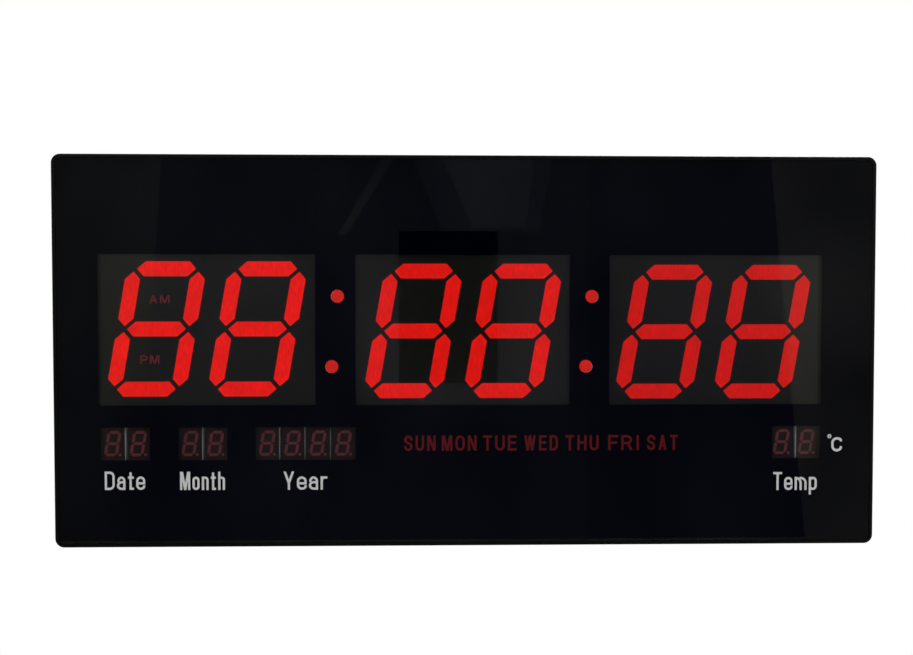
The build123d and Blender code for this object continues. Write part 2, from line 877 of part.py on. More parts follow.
# Setting buttons, each with the switch plunger that it presses
for button_name, button_x in zip(button_names, button_xs):
    with BuildPart() as plunger:
        with BuildSketch(Plane.XZ.offset(plunger_tip)):
            with Locations((button_x, bay_place[1])):
                Circle(plunger_diameter / 2)
        extrude(amount=plunger_reach + plunger_seat)
    pieces[f"{button_name}_plunger"] = plunger

    with BuildPart() as button:
        with BuildSketch(Plane.XZ.offset(button_face)):
            with Locations((button_x, bay_place[1])):
                Circle(button_diameter / 2)
        extrude(amount=flange_rear - button_face)
        fillet(button.faces().sort_by(Axis.Y)[-1].edges(), button_edge)
        with BuildSketch(Plane.XZ.offset(flange_rear)):
            with Locations((button_x, bay_place[1])):
                Circle(flange_diameter / 2)
        extrude(amount=flange_thickness)
        with BuildSketch(Plane.XZ.offset(flange_rear + flange_thickness)):
            with Locations((button_x, bay_place[1])):
                Circle(rod_diameter / 2)
        extrude(amount=plunger_tip - flange_rear - flange_thickness)
    pieces[f"{button_name}_button"] = button

# Rear cover: a shallow pan with a lip inside the frame, posts, wells, bay and openings
with BuildPart() as rear_cover:
    with BuildSketch(Plane.XZ):
        RectangleRounded(clock_width, clock_height, corner_radius)
    extrude(amount=parting_depth)
    rear_rim = rear_cover.faces().sort_by(Axis.Y)[-1].outer_wire().edges()
    fillet(rear_rim, rear_edge_radius)
    with BuildSketch(Plane.XZ.offset(floor_thickness)):
        RectangleRounded(inner_width, inner_height, inner_corner)
    extrude(amount=parting_depth - floor_thickness, mode=Mode.SUBTRACT)

    # Lip that locates the front frame
    lip_outer = (inner_width - 2 * lip_clearance, inner_height - 2 * lip_clearance)
    lip_inner = (lip_outer[0] - 2 * lip_thickness, lip_outer[1] - 2 * lip_thickness)
    with BuildSketch(Plane.XZ.offset(parting_depth - lip_root)):
        RectangleRounded(inner_width + case_wall, inner_height + case_wall, inner_corner)
        RectangleRounded(*lip_inner, inner_corner, mode=Mode.SUBTRACT)
    extrude(amount=lip_root)
    with BuildSketch(Plane.XZ.offset(parting_depth)):
        RectangleRounded(*lip_outer, panel_corner)
        RectangleRounded(*lip_inner, inner_corner, mode=Mode.SUBTRACT)
    extrude(amount=lip_height)

    # Columns for the case screws and standoffs for the board
    with BuildSketch(Plane.XZ.offset(floor_thickness)):
        with Locations(*case_screw_places):
            Circle(column_diameter / 2)
    extrude(amount=column_front - floor_thickness)
    with BuildSketch(Plane.XZ):
        with Locations(*case_screw_places):
            Circle(well_diameter / 2)
    extrude(amount=well_depth, mode=Mode.SUBTRACT)
    with BuildSketch(Plane.XZ.offset(well_depth)):
        with Locations(*case_screw_places):
            Circle(screw_hole / 2)
    extrude(amount=column_front - well_depth, mode=Mode.SUBTRACT)
    with BuildSketch(Plane.XZ.offset(floor_thickness)):
        with Locations(*board_screw_places):
            Circle(standoff_diameter / 2)
    extrude(amount=component_space)
    with BuildSketch(Plane.XZ.offset(pcb_rear)):
        with Locations(*board_screw_places):
            Circle(pilot_diameter / 2)
    extrude(amount=-standoff_hole_depth, mode=Mode.SUBTRACT)

    # Recessed bay for the setting buttons
    with BuildSketch(Plane.XZ.offset(floor_thickness)):
        with Locations(bay_place):
            RectangleRounded(bay_width + 2 * bay_wall, bay_height + 2 * bay_wall, bay_corner + bay_wall)
    extrude(amount=bay_front - floor_thickness)
    with BuildSketch(Plane.XZ):
        with Locations(bay_place):
            RectangleRounded(bay_width, bay_height, bay_corner)
    extrude(amount=bay_depth, mode=Mode.SUBTRACT)
    with BuildSketch(Plane.XZ):
        with Locations(*switch_places):
            Circle(button_diameter / 2 + button_clearance)
    extrude(amount=bay_front, mode=Mode.SUBTRACT)

    # Battery opening: seat for the cap, neck hole and the notches that let the lugs in
    with BuildSketch(Plane.XZ.offset(floor_thickness)):
        with Locations(cell_place):
            Circle(cap_ring_diameter / 2)
    extrude(amount=cap_ring_height)
    with BuildSketch(Plane.XZ):
        with Locations(cell_place):
            Circle(cap_diameter / 2 + cap_clearance)
    extrude(amount=cap_seat, mode=Mode.SUBTRACT)
    with BuildSketch(Plane.XZ):
        with Locations(cell_place):
            Rectangle(
                cap_lug_length + 2 * cap_clearance, cap_lug_width + 2 * cap_clearance, rotation=-cap_turn
            )
            Circle(cap_lug_length / 2 + cap_clearance, mode=Mode.INTERSECT)
            Circle(cap_neck / 2 + cap_clearance)
    extrude(amount=cap_ring_front, mode=Mode.SUBTRACT)

    # Power inlet's boss, seat and hole in the lower wall
    with BuildSketch(Plane.XY.offset(case_bottom + case_wall)):
        with Locations((jack_x, -(floor_thickness + parting_depth) / 2)):
            Rectangle(jack_boss_width, parting_depth - floor_thickness)
    extrude(amount=jack_boss_height - case_wall)
    with BuildSketch(Plane.XY.offset(case_bottom)):
        with Locations((jack_x, -jack_depth)):
            Circle(jack_flange / 2 + jack_fit)
    extrude(amount=jack_recess, mode=Mode.SUBTRACT)
    with BuildSketch(Plane.XY.offset(case_bottom)):
        with Locations((jack_x, -jack_depth)):
            Circle(jack_thread / 2 + jack_fit)
    extrude(amount=jack_boss_height, mode=Mode.SUBTRACT)

    # Keyholes, vents, sound holes and the bare label recess
    keyhole_z = case_top - keyhole_drop
    keyholes = [(-keyhole_spacing / 2, keyhole_z), (keyhole_spacing / 2, keyhole_z)]
    with BuildSketch(Plane.XZ):
        with Locations(*keyholes):
            Circle(keyhole_entry / 2)
        with Locations(*[(x, z + keyhole_rise / 2) for x, z in keyholes]):
            SlotCenterToCenter(keyhole_rise, keyhole_slot, rotation=90)
        with Locations((0, case_top - vent_edge), (0, case_bottom + vent_edge)):
            with GridLocations(vent_pitch, vent_length, vent_count, 1):
                SlotOverall(vent_length, vent_width, rotation=90)
        with Locations(buzzer_place):
            Circle(sound_hole / 2)
            with PolarLocations(sound_circle, sound_holes):
                Circle(sound_hole / 2)
    extrude(amount=floor_thickness, mode=Mode.SUBTRACT)
    with BuildSketch(Plane.XZ):
        with Locations(label_place):
            RectangleRounded(label_width, label_height, label_corner)
    extrude(amount=label_depth, mode=Mode.SUBTRACT)
pieces["rear_cover"] = rear_cover

# Case screws, in the wells and up into the frame's bosses
with BuildPart() as case_screws:
    with BuildSketch(Plane.XZ.offset(well_depth - head_height)):
        with Locations(*case_screw_places):
            Circle(head_diameter / 2)
    extrude(amount=head_height)
    with BuildSketch(Plane.XZ.offset(well_depth)):
        with Locations(*case_screw_places):
            Circle(screw_diameter / 2)
    extrude(amount=ledge_front - boss_cap - pilot_spare - well_depth)
    with BuildSketch(Plane.XZ.offset(well_depth - head_height)):
        with Locations(*case_screw_places):
            Rectangle(cross_length, cross_width)
            Rectangle(cross_width, cross_length)
    extrude(amount=cross_depth, mode=Mode.SUBTRACT)
pieces["case_screws"] = case_screws

# Board screws, from the front of the board into the standoffs
with BuildPart() as board_screws:
    with BuildSketch(Plane.XZ.offset(pcb_front)):
        with Locations(*board_screw_places):
            Circle(head_diameter / 2)
    extrude(amount=head_height)
    with BuildSketch(Plane.XZ.offset(pcb_front)):
        with Locations(*board_screw_places):
            Circle(screw_diameter / 2)
    extrude(amount=pilot_spare - pcb_thickness - standoff_hole_depth)
    with BuildSketch(Plane.XZ.offset(pcb_front + head_height)):
        with Locations(*board_screw_places):
            Rectangle(cross_length, cross_width)
            Rectangle(cross_width, cross_length)
    extrude(amount=-cross_depth, mode=Mode.SUBTRACT)
pieces["board_screws"] = board_screws

os.makedirs("parts", exist_ok=True)
for name, piece in pieces.items():
    piece.part.label = name
    export_step(piece.part, f"parts/{name}.step")
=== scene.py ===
import math

import bmesh
import bpy
from bpy.props import FloatProperty, FloatVectorProperty, PointerProperty
from mathutils import Matrix, Vector
from mathutils.geometry import delaunay_2d_cdt, interpolate_bezier, intersect_point_quad_2d


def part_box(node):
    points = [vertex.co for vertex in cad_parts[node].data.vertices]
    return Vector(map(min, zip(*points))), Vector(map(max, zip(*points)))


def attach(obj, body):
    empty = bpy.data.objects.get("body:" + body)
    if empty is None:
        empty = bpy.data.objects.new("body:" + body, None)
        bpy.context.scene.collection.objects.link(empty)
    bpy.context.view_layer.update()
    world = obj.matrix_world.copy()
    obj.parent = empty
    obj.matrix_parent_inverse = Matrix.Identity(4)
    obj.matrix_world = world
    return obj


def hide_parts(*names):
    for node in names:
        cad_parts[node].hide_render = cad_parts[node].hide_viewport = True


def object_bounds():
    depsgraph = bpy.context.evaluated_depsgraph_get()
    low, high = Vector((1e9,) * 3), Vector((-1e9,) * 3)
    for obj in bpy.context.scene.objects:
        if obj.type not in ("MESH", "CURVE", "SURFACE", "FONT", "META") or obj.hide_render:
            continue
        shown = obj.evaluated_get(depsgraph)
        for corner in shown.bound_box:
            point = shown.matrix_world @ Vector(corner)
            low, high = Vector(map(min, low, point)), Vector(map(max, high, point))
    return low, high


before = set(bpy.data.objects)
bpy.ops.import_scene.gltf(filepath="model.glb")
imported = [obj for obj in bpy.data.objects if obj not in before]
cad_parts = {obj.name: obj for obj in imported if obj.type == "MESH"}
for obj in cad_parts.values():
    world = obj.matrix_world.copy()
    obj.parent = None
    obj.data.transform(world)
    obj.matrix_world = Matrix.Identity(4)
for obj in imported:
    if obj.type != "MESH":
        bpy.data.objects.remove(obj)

bl_info = {
    "name": "LED wall clock",
    "version": (1, 0, 0),
    "blender": (4, 5, 0),
    "location": "View3D > Sidebar > Wall clock",
    "description": "Finishes the packed LED wall clock, letters it and sets it on a plain stage",
    "category": "Object",
}

MM = 0.001
CASE_BODY = "case"
PAIR_GLOW = (("hour", 1.09), ("minute", 1.0), ("second", 0.81))     # each pair and its share of the light
GROUPS = ("date", "month", "year", "temp")
KEYS = ("alarm", "set", "down", "up")

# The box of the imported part, before anything is added
CAD_BOX = [list(corner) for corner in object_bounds()]

# Planes of the front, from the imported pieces
MASK_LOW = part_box("mask_film")[0]
ROW_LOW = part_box("date_modules")[0]
HOUR_LOW, HOUR_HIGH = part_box("hour_face")
DIFFUSER_LOW, DIFFUSER_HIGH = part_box("weekday_diffuser")

# Captions: the word, the modules that it stands under, its width and its extra drop in millimetres
CAPTIONS = (
    ("Date", "date_modules", 22.4, -0.35),
    ("Month", "month_modules", 25.0, -0.1),
    ("Year", "year_modules", 24.8, 0.0),
    ("Temp", "temp_modules", 25.0, 1.35),
)
# Weekdays: the word, its width and its place from the middle of its light box cell, in millimetres
WEEKDAYS = (
    ("SUN", 17.7, 0.4),
    ("MON", 19.6, -0.55),
    ("TUE", 19.0, -0.8),
    ("WED", 19.2, -0.6),
    ("THU", 18.8, -0.35),
    ("FRI", 17.9, 0.3),
    ("SAT", 17.4, -0.9),
)
# Halves of the day: the word, its width and its place from the middle of the hour face, in millimetres
HALF_DAYS = (
    ("AM", 11.5, (-26.8, 17.2)),
    ("PM", 10.6, (-32.3, -16.5)),
)

# Colours of the pieces that only the back or the inside shows
SCREW_STEEL = (0.32, 0.32, 0.33)
TAPE_GREY = (0.03, 0.03, 0.03)
LED_CREAM = (0.6, 0.58, 0.45)
DIFFUSER_WHITE = (0.6, 0.6, 0.58)
CHIP_BLACK = (0.02, 0.02, 0.022)
CRYSTAL_STEEL = (0.6, 0.6, 0.6)
CAPACITOR_METAL = (0.5, 0.5, 0.52)
CONNECTOR_CREAM = (0.6, 0.58, 0.5)
LEAD_RED = (0.35, 0.012, 0.012)
JACK_BLACK = (0.014, 0.014, 0.015)
NUT_METAL = (0.55, 0.54, 0.5)
HOLDER_BLACK = (0.03, 0.03, 0.03)
CELL_STEEL = (0.62, 0.62, 0.62)
CONTACT_BRASS = (0.6, 0.52, 0.36)
BUTTON_GREY = (0.05, 0.05, 0.053)
PLUNGER_BLACK = (0.02, 0.02, 0.02)
SWITCH_BLACK = (0.03, 0.03, 0.03)
# Plain colours of the clear panel and the stage
WHITE = (1.0, 1.0, 1.0)
BLACK = (0.0, 0.0, 0.0)

# How uneven the light of the lit pieces is: the share of its streaks, and the range of its clouds
SEGMENT_STREAK = 0.14
DOT_STREAK = 0.1
GLOW_CLOUDS = (0.92, 1.05)
RESTING_SHARE = 0.1             # the lit pieces' own colour, as a share of their light
# Small modules: how far the white body and the dark paint drift, as shares of their colours
BODY_SHADE = 0.92
PAINT_SHADES = (0.8, 1.2)
PAINT_DEPTH = 0.05 * MM         # how deep the dark paint reaches on their fronts
# Board tracks: length, pitch and gap, and the shades of two kinds of track and of the gaps
TRACK_LENGTH = 26 * MM
TRACK_PITCH = 1.6 * MM
TRACK_GAP = 0.3 * MM
TRACK_SHADES = (1.5, 1.25, 0.7)
# How far a pattern is drawn out along each axis
EVEN = (1.0, 1.0, 1.0)
LIGHT_STREAKS = (1.0, 1.0, 4.0)
SURFACE_STREAKS = (1.0, 1.0, 7.0)
NOISE_RANGE = (0.3, 0.7)        # where most of a cloudy pattern's values lie

# Upright cloths round the camera, which only reflections show, in metres: the name, the depth, the left and
# right edges at the foot and at the top, the heights of the foot and the top, and one light for all of it
# or one for each
CLOTH_HEIGHTS = (-0.9, 0.9)
CLOTH_END = 2.0
CLOTHS = (
    ("left_cloth", -0.945, (-CLOTH_END, -CLOTH_END), (-0.496, -0.366), CLOTH_HEIGHTS,
     (0.06, 0.06, 0.054), (0.15, 0.15, 0.13)),
    ("right_cloth", -0.945, (0.577, 0.397), (CLOTH_END, CLOTH_END), CLOTH_HEIGHTS,
     (0.14, 0.138, 0.122), (0.125, 0.124, 0.11)),
    ("shade_cloth", -0.952, (0.2, 0.2), (0.7, 0.7), CLOTH_HEIGHTS,
     (0.043, 0.044, 0.058), (0.062, 0.063, 0.066)),
    ("pale_cloth", -0.95, (-0.013, -0.075), (0.126, 0.156), (0.145, 0.3), (0.096, 0.098, 0.116)),
    ("pale_middle", -0.948, (0.031, -0.035), (0.107, 0.126), (0.152, 0.3), (0.142, 0.144, 0.16)),
    ("pale_fold", -0.95, (-0.163, -0.098), (-0.151, -0.081), (0.14, 0.252), (0.14, 0.14, 0.14)),
    ("dark_cloth", -0.958, (-CLOTH_END, -CLOTH_END), (CLOTH_END, CLOTH_END), CLOTH_HEIGHTS,
     (0.058, 0.059, 0.07), (0.078, 0.079, 0.086)),
    ("low_strip", -0.94, (-CLOTH_END, -CLOTH_END), (CLOTH_END, CLOTH_END), (-0.36, -0.2995),
     (0.14, 0.145, 0.11)),
    ("camera_card", -0.932, (-0.075, -0.075), (0.066, 0.066), (-0.073, 0.144), (0.002, 0.002, 0.002)),
)
# The cloth on the floor, from under the upright ones towards the clock: its depths, height and light
FLOOR_CLOTH_DEPTHS = (-0.958, -0.2)
FLOOR_CLOTH_HEIGHT = -0.89
FLOOR_CLOTH_LIGHT = (0.056, 0.057, 0.07)
CLOTH_FADE = (-0.1, 0.4)        # heights between which the light goes from the foot's to the top's
CLOTH_FOLD = 0.16               # size of the folds in the light
CLOTH_FOLD_STRETCH = (1.0, 1.0, 1.6)
CLOTH_FOLD_LIGHT = (0.6, 1.4)   # how far the folds dim and raise the light

# Lamps: the name, the place and the side of the square in metres, and the setting that holds the power
LAMPS = (
    ("key_lamp", (-1.1, -1.5, 1.3), 1.1, "key"),
    ("fill_lamp", (1.5, -1.3, 0.5), 0.9, "fill"),
    ("back_lamp", (0.7, 0.8, 1.5), 0.5, "back"),
    ("back_fill_lamp", (-1.4, 1.2, 0.5), 0.9, "back_fill"),
)
FLOOR_PALE = (0.9, 0.9, 0.9)
FLOOR_RADIUS = 3.0
FLOOR_SIDES = 96
FLOOR_FADE = (0.6, 2.2)         # distances from the middle between which the floor turns white

# Strokes of the letters. Each letter has its width as a share of its height, then its strokes, whose
# points run from 0 to 1 across its box and from 0 to 1 up the height of a capital.
LINE, CURVE, LOOP, SLANT = "line", "curve", "loop", "slant"
ARC_HANDLE = 0.55
ARC_STEPS = 7
LOW = 0.69              # top of the small letters
SHARPEST = 0.5          # keeps a stroke's corners and slanting ends from growing too far out
POINT_MERGE = 0.01      # points nearer than this share of a corner's radius count as one
FACE_MERGE = 1e-4       # corners of strokes nearer than this share of a stroke's width count as one
FLAT_ANGLE = math.radians(1)    # faces that turn by less than this are joined
RING_SIDES = 48         # sides of the degree mark's circles
STEM = (LINE, ((0, 0), (0, 1)))
FAR_STEM = (LINE, ((1, 0), (1, 1)))
TOP_BAR = (LINE, ((0, 1), (1, 1)))
SHORT_STEM = (LINE, ((0, 0), (0, LOW)))
GLYPHS = {
    "A": (0.60, ((SLANT, ((0.08, 0), (0.5, 1))), (SLANT, ((0.92, 0), (0.5, 1))),
                 (LINE, ((0.2, 0.28), (0.8, 0.28))))),
    "C": (0.60, ((CURVE, ((1, 0.85), (1, 1), (0, 1), (0, 0), (1, 0), (1, 0.24))),)),
    "D": (0.55, (STEM, (CURVE, ((0, 0), (1, 0), (1, 1), (0, 1))))),
    "E": (0.50, (STEM, TOP_BAR, (LINE, ((0, 0.52), (0.9, 0.52))), (LINE, ((0, 0), (1, 0))))),
    "F": (0.50, (STEM, TOP_BAR, (LINE, ((0, 0.5), (0.85, 0.5))))),
    "H": (0.55, (STEM, FAR_STEM, (LINE, ((0, 0.52), (1, 0.52))))),
    "I": (0.20, ((LINE, ((0.5, 0), (0.5, 1))),)),
    "L": (0.48, ((LINE, ((0, 1), (0, 0), (1, 0))),)),
    "M": (0.66, (STEM, FAR_STEM, (SLANT, ((0.5, 0), (0.1, 1))), (SLANT, ((0.5, 0), (0.9, 1))))),
    "N": (0.55, (STEM, FAR_STEM, (SLANT, ((0.95, 0), (0.05, 1))))),
    "O": (0.57, ((LOOP, ((0, 0), (1, 0), (1, 1), (0, 1))),)),
    "P": (0.53, (STEM, (CURVE, ((0, 0.42), (1, 0.42), (1, 1), (0, 1))))),
    "R": (0.56, (STEM, (CURVE, ((0, 0.46), (0.95, 0.46), (0.95, 1), (0, 1))),
                 (SLANT, ((1, 0), (0.55, 0.46))))),
    "S": (0.55, ((CURVE, ((1, 0.8), (1, 1), (0, 1), (0, 0.53), (1, 0.47), (1, 0), (0, 0), (0, 0.2))),)),
    "T": (0.53, (TOP_BAR, (LINE, ((0.5, 0), (0.5, 1))))),
    "U": (0.55, ((CURVE, ((0, 1), (0, 0), (1, 0), (1, 1))),)),
    "W": (0.80, ((SLANT, ((0.27, 0), (0.03, 1))), (SLANT, ((0.27, 0), (0.5, 1))),
                 (SLANT, ((0.73, 0), (0.5, 1))), (SLANT, ((0.73, 0), (0.97, 1))))),
    "Y": (0.60, ((SLANT, ((0.5, 0.42), (0.06, 1))), (SLANT, ((0.5, 0.42), (0.94, 1))),
                 (LINE, ((0.5, 0), (0.5, 0.5))))),
    "a": (0.49, ((CURVE, ((0.06, 0.48), (0.06, LOW), (0.95, LOW), (0.95, 0))),
                 (CURVE, ((0.95, 0.4), (0, 0.4), (0, 0), (0.95, 0))))),
    "e": (0.50, ((CURVE, ((1, 0.14), (1, 0), (0, 0), (0, LOW), (1, LOW), (1, 0.33))),
                 (LINE, ((0, 0.33), (1, 0.33))))),
    "h": (0.44, (STEM, (CURVE, ((0, LOW), (1, LOW), (1, 0))))),
    "m": (0.72, (SHORT_STEM, (CURVE, ((0, LOW), (0.5, LOW), (0.5, 0))),
                 (CURVE, ((0.5, LOW), (1, LOW), (1, 0))))),
    "n": (0.44, (SHORT_STEM, (CURVE, ((0, LOW), (1, LOW), (1, 0))))),
    "o": (0.46, ((LOOP, ((0, 0), (1, 0), (1, LOW), (0, LOW))),)),
    "p": (0.48, ((LINE, ((0, -0.28), (0, LOW))), (LOOP, ((0, 0), (1, 0), (1, LOW), (0, LOW))))),
    "r": (0.35, (SHORT_STEM, (CURVE, ((0, 0.4), (0.1, LOW), (1, LOW))))),
    "t": (0.33, ((LINE, ((0.4, 0.95), (0.4, 0), (1, 0))), (LINE, ((0, LOW), (1, LOW))))),
}


def colour_property(label, words, value):
    """A colour that a user may change."""
    return FloatVectorProperty(
        name=label, description=words, default=value, subtype="COLOR", size=3, min=0.0, max=1.0
    )


def length_property(label, words, value):
    """A length in metres that a user may change."""
    return FloatProperty(name=label, description=words, default=value, unit="LENGTH", precision=5)


def angle_property(label, words, value):
    """An angle that a user may change, given here in degrees."""
    return FloatProperty(name=label, description=words, default=math.radians(value), subtype="ANGLE")


def power_property(label, words, value):
    """A lamp's power in watts that a user may change."""
    return FloatProperty(name=label, description=words, default=value, min=0.0, unit="POWER")


def factor_property(label, words, value):
    """A plain number that a user may change."""
    return FloatProperty(name=label, description=words, default=value)


class ClockColours(bpy.types.PropertyGroup):
    """Colours of the clock's finishes."""

    case: colour_property("Case", "Moulded black of the rear cover", (0.019, 0.019, 0.0205))
    rim: colour_property("Rim", "Polished black of the front frame", (0.0025, 0.0025, 0.003))
    mask: colour_property("Mask", "Black print behind the panel", (0.0001, 0.0003, 0.0018))
    face: colour_property("Display face", "Grey film round the large segments", (0.0056, 0.0056, 0.0050))
    lit: colour_property("Lit segments", "Light of the large segments", (0.655, 0.0025, 0.0))
    dots: colour_property("Colon dots", "Light of the colon dots", (0.53, 0.008, 0.004))
    unlit: colour_property("Unlit segments", "Resting red of the small segments", (0.075, 0.010, 0.013))
    weekdays: colour_property("Weekdays", "Resting red of the weekday words", (0.075, 0.006, 0.007))
    half_days: colour_property("AM and PM", "Resting red of the AM and PM words", (0.10, 0.016, 0.016))
    ink: colour_property("Captions", "White ink of the captions", (0.50, 0.50, 0.50))
    white: colour_property("White plastic", "Reflectors and light box", (0.72, 0.73, 0.71))
    body: colour_property("Module body", "White plastic of the small modules", (0.43, 0.44, 0.43))
    module: colour_property("Module face", "Dark paint on the small modules", (0.0089, 0.0025, 0.0027))
    board: colour_property("Circuit board", "Solder mask of the board", (0.01, 0.075, 0.03))


class ClockWords(bpy.types.PropertyGroup):
    """Sizes of the lettering."""

    caption_height: length_property("Caption height", "Height of a caption's capital letters", 10.3 * MM)
    caption_drop: length_property("Caption drop", "From the modules down to the captions' tops", 6.2 * MM)
    caption_stroke: length_property("Caption stroke", "Width of the captions' strokes", 1.25 * MM)
    caption_aside: length_property("Caption place", "From the modules' middle to a caption's", -0.35 * MM)
    caption_gap: length_property("Caption gap", "Space between a caption's letters", 1.25 * MM)
    weekday_height: length_property("Weekday height", "Height of the weekday letters", 8.6 * MM)
    weekday_stroke: length_property("Weekday stroke", "Width of the weekday strokes", 1.3 * MM)
    weekday_gap: length_property("Weekday gap", "Space between a weekday's letters", 1.75 * MM)
    half_day_height: length_property("AM and PM height", "Height of the AM and PM letters", 4.7 * MM)
    half_day_stroke: length_property("AM and PM stroke", "Width of the AM and PM strokes", 0.85 * MM)
    half_day_gap: length_property("AM and PM gap", "Space between the letters of AM and PM", 1.2 * MM)
    degree_height: length_property("Celsius height", "Height of the letter after the degree mark", 8.1 * MM)
    degree_width: length_property("Celsius width", "Width of the letter after the degree mark", 6.1 * MM)
    degree_stroke: length_property("Celsius stroke", "Width of that letter's stroke", 1.35 * MM)
    degree_aside: length_property("Celsius place", "From the modules to that letter's middle", 9.9 * MM)
    degree_drop: length_property("Celsius drop", "From the modules' middle to that letter's foot", 5.4 * MM)
    degree_ring: length_property("Degree mark", "Outer diameter of the degree mark", 2.3 * MM)
    degree_hole: length_property("Degree hole", "Inner diameter of the degree mark", 0.9 * MM)
    degree_rise: length_property("Degree rise", "From the letter's top up to the mark's middle", 0.6 * MM)
    key_height: length_property("Key word height", "Height of the words moulded by the buttons", 2.0 * MM)
    key_pitch: length_property("Key letter width", "Width of a moulded letter with its gap", 1.45 * MM)
    key_stroke: length_property("Key word stroke", "Width of the moulded words' strokes", 0.34 * MM)
    key_drop: length_property("Key word drop", "From a button's middle down to its word's middle", 5.4 * MM)
    bay_depth: length_property("Bay depth", "From the clock's back to the button bay's floor", 3.0 * MM)
    ink_depth: length_property("Ink thickness", "Thickness of a printed layer", 0.03 * MM)
    mould_depth: length_property("Moulded relief", "Height of moulded letters", 0.25 * MM)


class ClockStage(bpy.types.PropertyGroup):
    """Camera, light and floor."""

    distance: length_property("Camera distance", "From the middle of the front to the camera", 0.58)
    side: angle_property("Camera side", "How far the camera stands to the left", 1.495)
    rise: angle_property("Camera rise", "How far the camera stands above", 1.753)
    lens: FloatProperty(name="Lens", description="Focal length", default=40.88, unit="CAMERA")
    shift_x: factor_property("Shift across", "Sideways shift of the picture", -0.0125)
    shift_y: factor_property("Shift up", "Upward shift of the picture", 0.0262)
    floor_drop: length_property("Floor drop", "From the clock's middle down to the floor", 0.9)
    ambient: factor_property("Ambient light", "Strength of the light from all round", 0.5)
    key: power_property("Key lamp", "Power of the large lamp in front", 14.0)
    fill: power_property("Fill lamp", "Power of the lamp on the other side", 9.0)
    back: power_property("Back lamp", "Power of the raking lamp behind", 26.0)
    back_fill: power_property("Back fill lamp", "Power of the smaller lamp behind", 7.0)


class Finish:
    """A material with one Principled surface, and short ways to add its pattern."""

    def __init__(self, name, colour, roughness, **sockets):
        self.material = bpy.data.materials.new(name)
        self.material.use_nodes = True
        self.nodes = self.material.node_tree.nodes
        self.links = self.material.node_tree.links
        self.shader = self.nodes["Principled BSDF"]
        self.output = self.nodes["Material Output"]
        self.place = self.add("ShaderNodeTexCoord").outputs["Object"]
        self.colour = tuple(colour)
        self.set("Base Color", (*self.colour, 1.0))
        self.set("Roughness", roughness)
        for socket, value in sockets.items():
            self.set(socket.replace("_", " ").title().replace("Ior", "IOR"), value)

    def add(self, kind):
        """A new node of this kind."""
        return self.nodes.new(kind)

    def set(self, socket, value):
        """Sets one of the surface's own values."""
        self.shader.inputs[socket].default_value = value

    def drive(self, socket, source):
        """Feeds one of the surface's values from a pattern."""
        self.links.new(source, self.shader.inputs[socket])

    def noise(self, size, stretch=EVEN, detail=2.0):
        """Cloudy pattern with marks of about this size in metres, drawn out by stretch."""
        mapping = self.add("ShaderNodeMapping")
        mapping.inputs["Scale"].default_value = [1.0 / (size * longer) for longer in stretch]
        self.links.new(self.place, mapping.inputs["Vector"])
        texture = self.add("ShaderNodeTexNoise")
        texture.inputs["Scale"].default_value = 1.0
        texture.inputs["Detail"].default_value = detail
        self.links.new(mapping.outputs["Vector"], texture.inputs["Vector"])
        return texture.outputs["Fac"]

    def span(self, source, low, high, usual=NOISE_RANGE):
        """Maps the usual range of a pattern to low and high."""
        mapped = self.add("ShaderNodeMapRange")
        mapped.inputs["From Min"].default_value = usual[0]
        mapped.inputs["From Max"].default_value = usual[1]
        mapped.inputs["To Min"].default_value = low
        mapped.inputs["To Max"].default_value = high
        self.links.new(source, mapped.inputs["Value"])
        return mapped.outputs["Result"]

    def blend(self, factor, first, second):
        """Mixes two colours, each a colour or a pattern, by a factor."""
        mix = self.add("ShaderNodeMix")
        mix.data_type = "RGBA"
        self.links.new(factor, mix.inputs["Factor"])
        for socket, value in (("A", first), ("B", second)):
            target = next(i for i in mix.inputs if i.name == socket and i.type == "RGBA")
            if isinstance(value, bpy.types.NodeSocket):
                self.links.new(value, target)
            else:
                target.default_value = (*value, 1.0)
        return next(o for o in mix.outputs if o.type == "RGBA")

    def scaled(self, colour, factor):
        """A colour pattern made brighter or darker by a factor pattern."""
        scale = self.add("ShaderNodeVectorMath")
        scale.operation = "SCALE"
        self.links.new(colour, scale.inputs["Vector"])
        self.links.new(factor, scale.inputs["Scale"])
        return scale.outputs["Vector"]

    def mottle(self, size, amount, stretch=EVEN, socket="Base Color"):
        """Lets the colour drift by a share of itself either way, in marks of this size."""
        dark = tuple(c * (1.0 - amount) for c in self.colour)
        light = tuple(min(c * (1.0 + amount), 1.0) for c in self.colour)
        self.drive(socket, self.blend(self.noise(size, stretch), dark, light))

    def uneven(self, size, low, high):
        """Lets the roughness drift between two values."""
        self.drive("Roughness", self.span(self.noise(size), low, high))

    def grain(self, size, depth, strength=0.5, stretch=EVEN):
        """Raises a fine grain on the surface."""
        bump = self.add("ShaderNodeBump")
        bump.inputs["Strength"].default_value = strength
        bump.inputs["Distance"].default_value = depth
        self.links.new(self.noise(size, stretch), bump.inputs["Height"])
        self.drive("Normal", bump.outputs["Normal"])

    def front_share(self, depth):
        """One where the surface lies in front of this depth plane, and nought behind it."""
        parts = self.add("ShaderNodeSeparateXYZ")
        self.links.new(self.place, parts.inputs["Vector"])
        test = self.add("ShaderNodeMath")
        test.operation = "LESS_THAN"
        test.inputs[1].default_value = depth
        self.links.new(parts.outputs["Y"], test.inputs[0])
        return test.outputs["Value"]

    def surface(self):
        """The output of the Principled shader."""
        return self.shader.outputs["BSDF"]


def moulded_plastic(name, colour, roughness=0.45, grain=0.35 * MM, depth=0.03 * MM):
    """Plastic from a spark-eroded mould: fine grain, slight cloudiness and uneven dull sheen."""
    finish = Finish(name, colour, roughness, specular_ior_level=0.35)
    finish.mottle(9 * MM, amount=0.14)
    finish.uneven(2.4 * MM, low=roughness - 0.06, high=roughness + 0.06)
    finish.grain(grain, depth)
    return finish.material


